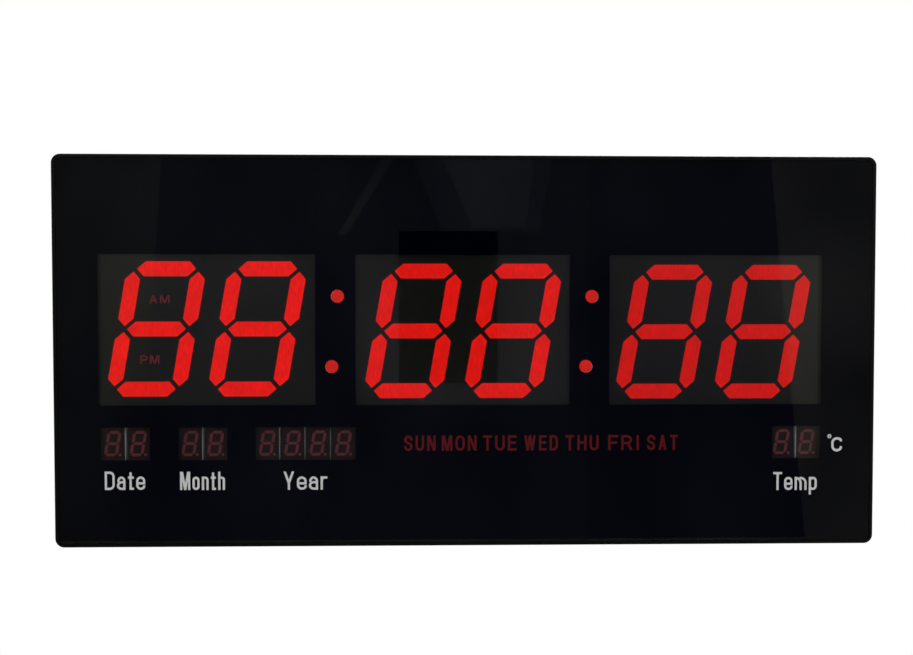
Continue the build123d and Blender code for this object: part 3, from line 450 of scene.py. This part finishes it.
def smooth_plastic(name, colour, roughness=0.25, shine=0.5):
    """Polished plastic with a faint drift of colour and sheen."""
    finish = Finish(name, colour, roughness, specular_ior_level=shine)
    finish.mottle(4 * MM, amount=0.08)
    finish.uneven(6 * MM, low=roughness - 0.02, high=roughness + 0.02)
    return finish.material


def soft_rubber(name, colour):
    """Silicone of the buttons: dull, with a fine dusty bloom."""
    finish = Finish(name, colour, roughness=0.6)
    finish.mottle(1.2 * MM, amount=0.2)
    finish.uneven(0.8 * MM, low=0.5, high=0.7)
    finish.grain(0.25 * MM, depth=0.02 * MM)
    return finish.material


def bare_metal(name, colour, roughness, stretch=EVEN):
    """Plated metal with rubbed streaks."""
    finish = Finish(name, colour, roughness, metallic=1.0)
    finish.mottle(0.8 * MM, amount=0.12, stretch=stretch)
    finish.uneven(0.5 * MM, low=roughness * 0.7, high=roughness * 1.3)
    finish.grain(0.3 * MM, depth=0.004 * MM, strength=0.3, stretch=stretch)
    return finish.material


def clear_panel(name):
    """Polished acrylic that lamps shine through, with the slight ripple of a cast sheet."""
    finish = Finish(name, WHITE, roughness=0.0, transmission_weight=1.0, ior=1.49)
    finish.grain(60 * MM, depth=0.01 * MM, strength=0.1)
    path = finish.add("ShaderNodeLightPath")
    either = finish.add("ShaderNodeMath")
    either.operation = "MAXIMUM"
    finish.links.new(path.outputs["Is Shadow Ray"], either.inputs[0])
    finish.links.new(path.outputs["Is Diffuse Ray"], either.inputs[1])
    through = finish.add("ShaderNodeBsdfTransparent")
    mix = finish.add("ShaderNodeMixShader")
    finish.links.new(either.outputs["Value"], mix.inputs["Fac"])
    finish.links.new(finish.surface(), mix.inputs[1])
    finish.links.new(through.outputs["BSDF"], mix.inputs[2])
    finish.links.new(mix.outputs["Shader"], finish.output.inputs["Surface"])
    return finish.material


def printed_ink(name, colour):
    """Screen-printed ink, a little patchy in colour and sheen."""
    finish = Finish(name, colour, roughness=0.5, specular_ior_level=0.0)
    finish.mottle(0.9 * MM, amount=0.1)
    finish.uneven(0.6 * MM, low=0.42, high=0.58)
    return finish.material


def display_film(name, colour):
    """Smooth grey film over a display, with a trace of orange peel."""
    finish = Finish(name, colour, roughness=0.12)
    finish.mottle(2.5 * MM, amount=0.1)
    finish.uneven(7 * MM, low=0.09, high=0.16)
    finish.grain(1.5 * MM, depth=0.004 * MM, strength=0.25)
    return finish.material


def glowing_red(name, colour, streak):
    """Red diffuser lit from behind: fine upright streaks and soft clouds in its light."""
    resting = [c * RESTING_SHARE for c in colour]
    finish = Finish(name, resting, roughness=0.4, emission_strength=1.0, specular_ior_level=0.2)
    finish.mottle(2 * MM, amount=0.1)
    fine = finish.noise(0.9 * MM, LIGHT_STREAKS, detail=3.0)
    dim = [c * (1.0 - streak) for c in colour]
    bright = [min(c * (1.0 + streak), 1.0) for c in colour]
    streaks = finish.blend(finish.span(fine, 0.0, 1.0), dim, bright)
    clouds = finish.span(finish.noise(7 * MM), *GLOW_CLOUDS)
    finish.drive("Emission Color", finish.scaled(streaks, clouds))
    finish.grain(0.5 * MM, depth=0.01 * MM, strength=0.3, stretch=SURFACE_STREAKS)
    return finish.material


def module_plastic(name, white, face, face_plane):
    """White module bodies whose fronts are painted dark."""
    finish = Finish(name, white, roughness=0.4, specular_ior_level=0.1)
    front = finish.front_share(face_plane)
    body = finish.blend(finish.noise(2 * MM), [c * BODY_SHADE for c in white], white)
    dark, light = ([c * shade for c in face] for shade in PAINT_SHADES)
    paint = finish.blend(finish.noise(0.7 * MM), dark, light)
    finish.drive("Base Color", finish.blend(front, body, paint))
    finish.uneven(1.5 * MM, low=0.35, high=0.5)
    finish.grain(2 * MM, depth=0.004 * MM, strength=0.2)
    return finish.material


def board_mask(name, colour):
    """Solder mask over copper: paler tracks between the darker gaps, with a fine weave."""
    finish = Finish(name, colour, roughness=0.35)
    turn = finish.add("ShaderNodeMapping")
    turn.inputs["Rotation"].default_value = (math.radians(90), 0.0, 0.0)
    finish.links.new(finish.place, turn.inputs["Vector"])
    tracks = finish.add("ShaderNodeTexBrick")
    tracks.inputs["Scale"].default_value = 1.0
    tracks.inputs["Brick Width"].default_value = TRACK_LENGTH
    tracks.inputs["Row Height"].default_value = TRACK_PITCH
    tracks.inputs["Mortar Size"].default_value = TRACK_GAP
    tracks.inputs["Mortar Smooth"].default_value = 0.1
    for socket, shade in zip(("Color1", "Color2", "Mortar"), TRACK_SHADES):
        tracks.inputs[socket].default_value = (*[c * shade for c in colour], 1.0)
    finish.links.new(turn.outputs["Vector"], tracks.inputs["Vector"])
    finish.drive("Base Color", tracks.outputs["Color"])
    finish.uneven(3 * MM, low=0.28, high=0.42)
    finish.grain(0.5 * MM, depth=0.02 * MM, strength=0.4)
    return finish.material


def dress(material, *nodes):
    """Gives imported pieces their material."""
    for node in nodes:
        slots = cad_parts[node].data.materials
        slots.clear()
        slots.append(material)


def add_piece(name, mesh, material):
    """A new piece of the case, with its material, hung under the case's body."""
    piece = bpy.data.objects.new(name, mesh)
    mesh.materials.clear()
    mesh.materials.append(material)
    bpy.context.scene.collection.objects.link(piece)
    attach(piece, CASE_BODY)
    return piece


def move_mesh(mesh, x, y, z):
    """Moves a mesh, such as a word from the origin to the middle of its base line."""
    mesh.transform(Matrix.Translation((x, y, z)))


def turn_to_rear(mesh):
    """Turns a word to face the back of the clock."""
    mesh.transform(Matrix.Rotation(math.pi, 4, "Z"))


def rounded(points, closed, radius):
    """Rounds the corners of a line of points by up to this radius."""
    count = len(points)
    corners = range(count) if closed else range(1, count - 1)
    path = [] if closed else [points[0]]
    for i in corners:
        corner = points[i]
        arms = []
        for j in (i - 1, i + 1):
            neighbour = points[j % count]
            at_end = not closed and j in (0, count - 1)
            reach = (neighbour - corner).length * (1.0 if at_end else 0.5)
            arms.append((neighbour - corner).normalized() * min(radius, reach))
        first, last = (corner + arm for arm in arms)
        first_handle, last_handle = (corner + arm * (1.0 - ARC_HANDLE) for arm in arms)
        path += [p.to_2d() for p in interpolate_bezier(first, first_handle, last_handle, last, ARC_STEPS)]
    path = path if closed else path + [points[-1]]
    before = path[-1:] + path[:-1]
    return [point for point, last in zip(path, before) if (point - last).length > radius * POINT_MERGE]


def ribbon(path, closed, weight):
    """Four-cornered faces that follow a line of points at this width, with square ends."""
    count = len(path)
    if not closed:
        first = path[0] + (path[0] - path[1]).normalized() * weight / 2
        last = path[-1] + (path[-1] - path[-2]).normalized() * weight / 2
        path = [first, *path[1:-1], last]
    sides = []
    for i, point in enumerate(path):
        before = path[i - 1] if closed or i > 0 else None
        after = path[(i + 1) % count] if closed or i < count - 1 else None
        arms = [(point - before).normalized()] if before is not None else []
        arms += [(after - point).normalized()] if after is not None else []
        along = sum(arms, Vector((0.0, 0.0))).normalized()
        out = Vector((-along.y, along.x)) * weight / 2 / max(along.dot(arms[0]), SHARPEST)
        sides.append((point + out, point - out))
    pairs = zip(sides, sides[1:] + sides[:1]) if closed else zip(sides, sides[1:])
    return [(a[0], a[1], b[1], b[0]) for a, b in pairs]


def slant(start, end, weight):
    """A slanting stroke with level ends, as one face."""
    rise = (end - start).normalized()
    half = Vector((weight / 2 / max(abs(rise.y), SHARPEST), 0.0))
    reach = Vector((0.0, weight / 2 if end.y > start.y else -weight / 2))
    lower, upper = start - reach, end + reach
    return [(lower + half, upper + half, upper - half, lower - half)]


def letter_faces(letter, left, width, height, weight):
    """Flat faces of one letter, drawn stroke by stroke in its box."""
    faces = []
    for kind, points in GLYPHS[letter][1]:
        room = Vector((width - weight, height - weight))
        inset = Vector((left + weight / 2, weight / 2))
        line = [inset + Vector(point) * room for point in points]
        if kind == SLANT:
            faces += slant(line[0], line[1], weight)
        elif kind == LINE:
            faces += ribbon(line, False, weight)
        else:
            closed = kind == LOOP
            faces += ribbon(rounded(line, closed, room.x / 2), closed, weight)
    return faces


def word_mesh(name, text, width, height, weight, depth, gap):
    """A closed mesh of a word in bold plain letters, standing in X and Z: its middle at x = 0,
    its base line at z = 0, its back at y = 0 and its front depth nearer the viewer.
    Height is that of its capitals, and gap the space between its letters."""
    natural = [GLYPHS[letter][0] for letter in text]
    stretch = (width - gap * (len(text) - 1)) / sum(natural)
    left = -width / 2
    word = bmesh.new()
    for letter, share in zip(text, natural):
        faces = letter_faces(letter, left, share * stretch, height, weight)
        corners = [corner for face in faces for corner in face]
        rings = [[4 * i, 4 * i + 1, 4 * i + 2, 4 * i + 3] for i in range(len(faces))]
        points, _, triangles, *_ = delaunay_2d_cdt(corners, [], rings, 0, weight * FACE_MERGE)
        verts = [word.verts.new((point.x, 0.0, point.y)) for point in points]
        for triangle in triangles:
            middle = sum((points[i] for i in triangle), Vector((0.0, 0.0))) / 3
            if any(intersect_point_quad_2d(middle, *face) for face in faces):
                word.faces.new([verts[i] for i in triangle])
        left += share * stretch + gap
    loose = [vert for vert in word.verts if not vert.link_faces]
    bmesh.ops.delete(word, geom=loose, context="VERTS")
    bmesh.ops.dissolve_limit(word, angle_limit=FLAT_ANGLE, verts=word.verts, edges=word.edges)
    grown = bmesh.ops.extrude_face_region(word, geom=word.faces[:], use_keep_orig=True)["geom"]
    front = [part for part in grown if isinstance(part, bmesh.types.BMVert)]
    bmesh.ops.translate(word, verts=front, vec=(0.0, -depth, 0.0))
    bmesh.ops.recalc_face_normals(word, faces=word.faces)
    mesh = bpy.data.meshes.new(name)
    word.to_mesh(mesh)
    word.free()
    return mesh


def add_word(name, text, width, style, place, material):
    """A word as a new piece of the case. Style holds its height, stroke, depth and gap, and place is
    where the middle of its base line goes."""
    mesh = word_mesh(name, text, width, *style)
    move_mesh(mesh, *place)
    add_piece(name, mesh, material)


def ring_mesh(name, outer, inner, depth):
    """A flat ring standing in X and Z, with its back at y = 0."""
    ring = bmesh.new()
    loops = []
    for radius, y in ((outer, 0.0), (inner, 0.0), (inner, -depth), (outer, -depth)):
        turn = [math.tau * i / RING_SIDES for i in range(RING_SIDES)]
        loops.append([ring.verts.new((radius * math.cos(a), y, radius * math.sin(a))) for a in turn])
    for first, second in zip(loops, loops[1:] + loops[:1]):
        for i in range(RING_SIDES):
            j = (i + 1) % RING_SIDES
            ring.faces.new((first[i], first[j], second[j], second[i]))
    bmesh.ops.recalc_face_normals(ring, faces=ring.faces)
    mesh = bpy.data.meshes.new(name)
    ring.to_mesh(mesh)
    ring.free()
    return mesh


class CLOCK_OT_case(bpy.types.Operator):
    """Finishes the frame, the rear cover and the screws"""

    bl_idname = "clock.case"
    bl_label = "Case"

    def execute(self, context):
        colours = context.scene.clock_colours
        dress(smooth_plastic("frame_plastic", colours.rim, roughness=0.3, shine=0.18), "front_frame")
        dress(moulded_plastic("cover_plastic", colours.case), "rear_cover")
        dress(bare_metal("screw_steel", SCREW_STEEL, roughness=0.35), "case_screws", "board_screws")
        return {"FINISHED"}


class CLOCK_OT_panel(bpy.types.Operator):
    """Finishes the clear panel and its tape, and bonds the black print to the panel's back"""

    bl_idname = "clock.panel"
    bl_label = "Panel"

    def execute(self, context):
        scene = context.scene
        dress(clear_panel("clear_acrylic"), "front_panel")
        dress(soft_rubber("foam_tape", TAPE_GREY), "panel_tape")
        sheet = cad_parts["mask_film"].data.copy()
        move_mesh(sheet, 0.0, -scene.clock_words.ink_depth, 0.0)
        ink = printed_ink("black_print", scene.clock_colours.mask)
        mask = add_piece("mask_print", sheet, ink)
        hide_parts("mask_film")
        return {"FINISHED"}


class CLOCK_OT_large_displays(bpy.types.Operator):
    """Finishes the large digits, their faces and reflectors, and the colon dots"""

    bl_idname = "clock.large_displays"
    bl_label = "Large displays"

    def execute(self, context):
        colours = context.scene.clock_colours
        white = moulded_plastic("reflector_white", colours.white, roughness=0.5)
        film = display_film("grey_film", colours.face)
        dress(white, "colon_tubes")
        for pair, share in PAIR_GLOW:
            dress(white, f"{pair}_housing")
            dress(film, f"{pair}_face")
            light = [channel * share for channel in colours.lit]
            dress(glowing_red(f"{pair}_glow", light, SEGMENT_STREAK), f"{pair}_segments")
        dress(glowing_red("dot_glow", colours.dots, DOT_STREAK), "colon_lenses")
        dress(smooth_plastic("led_package", LED_CREAM), "segment_leds", "colon_leds", "weekday_leds")
        return {"FINISHED"}


class CLOCK_OT_small_displays(bpy.types.Operator):
    """Finishes the date, month, year and temperature modules and the weekday light box"""

    bl_idname = "clock.small_displays"
    bl_label = "Small displays"

    def execute(self, context):
        colours = context.scene.clock_colours
        face_plane = ROW_LOW.y + PAINT_DEPTH
        body = module_plastic("module_body", colours.body, colours.module, face_plane)
        dress(body, *[f"{group}_modules" for group in GROUPS])
        unlit = smooth_plastic("unlit_segment", colours.unlit, roughness=0.3)
        dress(unlit, *[f"{group}_segments" for group in GROUPS])
        dress(moulded_plastic("light_box_white", colours.white, roughness=0.5), "weekday_light_box")
        dress(smooth_plastic("diffuser_film", DIFFUSER_WHITE, roughness=0.5), "weekday_diffuser")
        return {"FINISHED"}


class CLOCK_OT_captions(bpy.types.Operator):
    """Prints the white captions and the degree sign on the back of the panel"""

    bl_idname = "clock.captions"
    bl_label = "Captions"

    def execute(self, context):
        words = context.scene.clock_words
        ink = printed_ink("white_ink", context.scene.clock_colours.ink)
        plane = MASK_LOW.y - words.ink_depth / 2
        top = ROW_LOW.z - words.caption_drop
        style = (words.caption_height, words.caption_stroke, words.ink_depth, words.caption_gap)
        for word, node, width, drop in CAPTIONS:
            low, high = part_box(node)
            middle = (low.x + high.x) / 2 + words.caption_aside
            place = (middle, plane, top - words.caption_height - drop * MM)
            add_word(f"caption_{word.lower()}", word, width * MM, style, place, ink)
        low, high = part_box("temp_modules")
        foot = (low.z + high.z) / 2 - words.degree_drop
        style = (words.degree_height, words.degree_stroke, words.ink_depth, 0.0)
        place = (high.x + words.degree_aside, plane, foot)
        add_word("celsius_letter", "C", words.degree_width, style, place, ink)
        mark = ring_mesh("degree_mark", words.degree_ring / 2, words.degree_hole / 2, words.ink_depth)
        mark_x = high.x + words.degree_aside - words.degree_width / 2 - words.degree_ring / 2
        move_mesh(mark, mark_x, plane, foot + words.degree_height + words.degree_rise)
        add_piece(mark.name, mark, ink)
        return {"FINISHED"}


class CLOCK_OT_red_words(bpy.types.Operator):
    """Adds the weekday words in the mask, and AM and PM on the hour face"""

    bl_idname = "clock.red_words"
    bl_label = "Red words"

    def execute(self, context):
        words = context.scene.clock_words
        colours = context.scene.clock_colours
        weekday_red = printed_ink("weekday_red", colours.weekdays)
        half_day_red = printed_ink("half_day_red", colours.half_days)
        plane = MASK_LOW.y - words.ink_depth / 2
        middle = (DIFFUSER_LOW + DIFFUSER_HIGH) / 2
        pitch = (DIFFUSER_HIGH.x - DIFFUSER_LOW.x) / len(WEEKDAYS)
        style = (words.weekday_height, words.weekday_stroke, words.ink_depth, words.weekday_gap)
        for i, (word, width, aside) in enumerate(WEEKDAYS):
            offset = (i - (len(WEEKDAYS) - 1) / 2) * pitch + aside * MM
            place = (middle.x + offset, plane, middle.z - words.weekday_height / 2)
            add_word(f"weekday_{word.lower()}", word, width * MM, style, place, weekday_red)
        face_middle = (HOUR_LOW + HOUR_HIGH) / 2
        style = (words.half_day_height, words.half_day_stroke, words.ink_depth, words.half_day_gap)
        for word, width, (x, z) in HALF_DAYS:
            base = face_middle.z + z * MM - words.half_day_height / 2
            place = (face_middle.x + x * MM, HOUR_LOW.y, base)
            add_word(f"half_day_{word.lower()}", word, width * MM, style, place, half_day_red)
        return {"FINISHED"}


class CLOCK_OT_board(bpy.types.Operator):
    """Finishes the circuit board and what is soldered to it"""

    bl_idname = "clock.board"
    bl_label = "Circuit board"

    def execute(self, context):
        colours = context.scene.clock_colours
        dress(board_mask("solder_mask", colours.board), "main_pcb")
        chip = moulded_plastic("chip_epoxy", CHIP_BLACK, roughness=0.55, grain=0.15 * MM)
        dress(chip, "controller_chip", "driver_chips", "segment_resistors", "voltage_regulator")
        dress(chip, "temperature_sensor", "buzzer")
        dress(bare_metal("crystal_can", CRYSTAL_STEEL, roughness=0.25), "clock_crystal")
        dress(bare_metal("capacitor_can", CAPACITOR_METAL, roughness=0.3), "filter_capacitors")
        dress(moulded_plastic("connector_plastic", CONNECTOR_CREAM), "lead_connector")
        dress(smooth_plastic("lead_insulation", LEAD_RED, roughness=0.4), "power_leads")
        return {"FINISHED"}


class CLOCK_OT_power(bpy.types.Operator):
    """Finishes the power inlet, the coin cell and its cap"""

    bl_idname = "clock.power"
    bl_label = "Power and cell"

    def execute(self, context):
        colours = context.scene.clock_colours
        dress(smooth_plastic("jack_plastic", JACK_BLACK, roughness=0.35), "dc_jack")
        dress(bare_metal("nut_metal", NUT_METAL, roughness=0.3), "jack_nut")
        dress(moulded_plastic("holder_plastic", HOLDER_BLACK), "cell_holder")
        dress(bare_metal("cell_steel", CELL_STEEL, roughness=0.22), "coin_cell")
        dress(bare_metal("contact_metal", CONTACT_BRASS, roughness=0.3), "cell_contact")
        cap = moulded_plastic(
            "cap_plastic", colours.case, roughness=0.4, grain=0.25 * MM, depth=0.02 * MM
        )
        dress(cap, "battery_cap")
        return {"FINISHED"}


class CLOCK_OT_keys(bpy.types.Operator):
    """Finishes the buttons and switches, and moulds a word beside each button"""

    bl_idname = "clock.keys"
    bl_label = "Buttons"

    def execute(self, context):
        scene = context.scene
        words = scene.clock_words
        dress(soft_rubber("button_rubber", BUTTON_GREY), *[f"{key}_button" for key in KEYS])
        dress(smooth_plastic("plunger_plastic", PLUNGER_BLACK), *[f"{key}_plunger" for key in KEYS])
        dress(moulded_plastic("switch_body", SWITCH_BLACK), "switch_bodies")
        relief = moulded_plastic("moulded_words", scene.clock_colours.case)
        style = (words.key_height, words.key_stroke, words.mould_depth, words.key_stroke)
        for key in KEYS:
            low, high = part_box(f"{key}_button")
            mesh = word_mesh(f"key_word_{key}", key.upper(), words.key_pitch * len(key), *style)
            turn_to_rear(mesh)
            base = (low.z + high.z) / 2 - words.key_drop - words.key_height / 2
            move_mesh(mesh, (low.x + high.x) / 2, -words.bay_depth, base)
            add_piece(mesh.name, mesh, relief)
        return {"FINISHED"}


class CLOCK_OT_stage(bpy.types.Operator):
    """Sets the floor, the lamps, the camera and the cloths that only reflections show"""

    bl_idname = "clock.stage"
    bl_label = "Stage"

    def execute(self, context):
        scene = context.scene
        stage = scene.clock_stage
        scene.view_settings.view_transform = "Standard"
        studio_world(scene, stage.ambient)
        studio_floor(stage.floor_drop)
        for name, y, left, right, (low, high), *lights in CLOTHS:
            corners = [(left[0], y, low), (right[0], y, low), (right[1], y, high), (left[1], y, high)]
            hang_cloth(name, corners, lights[0], lights[-1])
        back, front = FLOOR_CLOTH_DEPTHS
        across = ((-CLOTH_END, back), (CLOTH_END, back), (CLOTH_END, front), (-CLOTH_END, front))
        corners = [(x, y, FLOOR_CLOTH_HEIGHT) for x, y in across]
        hang_cloth("floor_cloth", corners, FLOOR_CLOTH_LIGHT, FLOOR_CLOTH_LIGHT)
        for name, place, side, setting in LAMPS:
            add_lamp(name, place, side, getattr(stage, setting))
        add_camera(scene, stage)
        return {"FINISHED"}


def seen_rays(nodes, links):
    """One for rays that show the background itself: from the camera, a reflection or through glass."""
    path = nodes.new("ShaderNodeLightPath")
    total = path.outputs["Is Camera Ray"]
    for ray in ("Is Glossy Ray", "Is Transmission Ray"):
        larger = nodes.new("ShaderNodeMath")
        larger.operation = "MAXIMUM"
        links.new(total, larger.inputs[0])
        links.new(path.outputs[ray], larger.inputs[1])
        total = larger.outputs["Value"]
    return total


def studio_world(scene, ambient):
    """White where it is seen, and a plain soft light elsewhere."""
    world = bpy.data.worlds.new("studio")
    scene.world = world
    world.use_nodes = True
    nodes = world.node_tree.nodes
    links = world.node_tree.links
    backdrop = nodes["Background"]
    strength = nodes.new("ShaderNodeMapRange")
    strength.inputs["To Min"].default_value = ambient
    strength.inputs["To Max"].default_value = 1.0
    links.new(seen_rays(nodes, links), strength.inputs["Value"])
    links.new(strength.outputs["Result"], backdrop.inputs["Strength"])
    backdrop.inputs["Color"].default_value = (*WHITE, 1.0)


def studio_floor(drop):
    """A pale round floor that fades to the white background."""
    disc = bmesh.new()
    bmesh.ops.create_circle(disc, cap_ends=True, segments=FLOOR_SIDES, radius=FLOOR_RADIUS)
    mesh = bpy.data.meshes.new("floor")
    disc.to_mesh(mesh)
    disc.free()
    floor = bpy.data.objects.new("floor", mesh)
    floor.location.z = -drop
    bpy.context.scene.collection.objects.link(floor)
    finish = Finish("floor_paint", FLOOR_PALE, roughness=0.8)
    finish.mottle(0.2, amount=0.02)
    reach = finish.add("ShaderNodeVectorMath")
    reach.operation = "LENGTH"
    finish.links.new(finish.place, reach.inputs[0])
    fade = finish.add("ShaderNodeMapRange")
    fade.interpolation_type = "SMOOTHSTEP"
    fade.inputs["From Min"].default_value = FLOOR_FADE[0]
    fade.inputs["From Max"].default_value = FLOOR_FADE[1]
    finish.links.new(reach.outputs["Value"], fade.inputs["Value"])
    share = finish.add("ShaderNodeMath")
    share.operation = "MULTIPLY"
    finish.links.new(fade.outputs["Result"], share.inputs[0])
    finish.links.new(seen_rays(finish.nodes, finish.links), share.inputs[1])
    white = finish.add("ShaderNodeEmission")
    mix = finish.add("ShaderNodeMixShader")
    finish.links.new(share.outputs["Value"], mix.inputs["Fac"])
    finish.links.new(finish.surface(), mix.inputs[1])
    finish.links.new(white.outputs["Emission"], mix.inputs[2])
    finish.links.new(mix.outputs["Shader"], finish.output.inputs["Surface"])
    mesh.materials.append(finish.material)


def hang_cloth(name, corners, foot, top):
    """A sheet by the camera that only reflections show, with folds in its light."""
    sheet = bmesh.new()
    sheet.faces.new([sheet.verts.new(corner) for corner in corners])
    mesh = bpy.data.meshes.new(name)
    sheet.to_mesh(mesh)
    sheet.free()
    cloth = bpy.data.objects.new(name, mesh)
    bpy.context.scene.collection.objects.link(cloth)
    cloth.visible_camera = False
    cloth.visible_diffuse = False
    cloth.visible_shadow = False
    finish = Finish(name, BLACK, roughness=1.0, emission_strength=1.0, specular_ior_level=0.0)
    height = finish.add("ShaderNodeSeparateXYZ")
    finish.links.new(finish.place, height.inputs["Vector"])
    rise = finish.span(height.outputs["Z"], 0.0, 1.0, CLOTH_FADE)
    shade = finish.blend(rise, foot, top)
    folds = finish.span(finish.noise(CLOTH_FOLD, CLOTH_FOLD_STRETCH), *CLOTH_FOLD_LIGHT)
    finish.drive("Emission Color", finish.scaled(shade, folds))
    mesh.materials.append(finish.material)


def add_lamp(name, place, side, power):
    """A square soft lamp aimed at the clock."""
    light = bpy.data.lights.new(name, "AREA")
    light.size = side
    light.energy = power
    lamp = bpy.data.objects.new(name, light)
    lamp.location = place
    lamp.visible_camera = False
    lamp.rotation_euler = (-Vector(place)).to_track_quat("-Z", "Y").to_euler()
    bpy.context.scene.collection.objects.link(lamp)


def add_camera(scene, stage):
    """The camera, a little to the left of the clock and above it."""
    data = bpy.data.cameras.new("camera")
    data.sensor_fit = "HORIZONTAL"
    data.lens = stage.lens
    data.shift_x = stage.shift_x
    data.shift_y = stage.shift_y
    camera = bpy.data.objects.new("camera", data)
    target = Vector((0.0, CAD_BOX[0][1], 0.0))
    level = math.cos(stage.rise)
    back = Vector((-math.sin(stage.side) * level, -math.cos(stage.side) * level, math.sin(stage.rise)))
    camera.location = target + back * stage.distance
    camera.rotation_euler = (-back).to_track_quat("-Z", "Y").to_euler()
    scene.collection.objects.link(camera)
    scene.camera = camera


OPERATORS = (
    CLOCK_OT_case,
    CLOCK_OT_panel,
    CLOCK_OT_large_displays,
    CLOCK_OT_small_displays,
    CLOCK_OT_captions,
    CLOCK_OT_red_words,
    CLOCK_OT_board,
    CLOCK_OT_power,
    CLOCK_OT_keys,
    CLOCK_OT_stage,
)


class CLOCK_PT_panel(bpy.types.Panel):
    """Lists the clock's settings and steps"""

    bl_idname = "CLOCK_PT_panel"
    bl_label = "Wall clock"
    bl_space_type = "VIEW_3D"
    bl_region_type = "UI"
    bl_category = "Wall clock"

    def draw(self, context):
        layout = self.layout
        for group in (context.scene.clock_colours, context.scene.clock_words, context.scene.clock_stage):
            box = layout.box()
            for setting in group.__annotations__:
                box.prop(group, setting)
        for step in OPERATORS:
            layout.operator(step.bl_idname)


CLASSES = (ClockColours, ClockWords, ClockStage, *OPERATORS, CLOCK_PT_panel)


def register():
    """Registers the classes and hangs the settings on the scene."""
    for cls in CLASSES:
        bpy.utils.register_class(cls)
    bpy.types.Scene.clock_colours = PointerProperty(type=ClockColours)
    bpy.types.Scene.clock_words = PointerProperty(type=ClockWords)
    bpy.types.Scene.clock_stage = PointerProperty(type=ClockStage)


def unregister():
    """Takes the settings and the classes away again."""
    del bpy.types.Scene.clock_colours
    del bpy.types.Scene.clock_words
    del bpy.types.Scene.clock_stage
    for cls in reversed(CLASSES):
        bpy.utils.unregister_class(cls)


def main():
    """Builds the whole scene."""
    register()
    bpy.ops.clock.case()
    bpy.ops.clock.panel()
    bpy.ops.clock.large_displays()
    bpy.ops.clock.small_displays()
    bpy.ops.clock.captions()
    bpy.ops.clock.red_words()
    bpy.ops.clock.board()
    bpy.ops.clock.power()
    bpy.ops.clock.keys()
    bpy.ops.clock.stage()


if __name__ == "__main__":
    main()
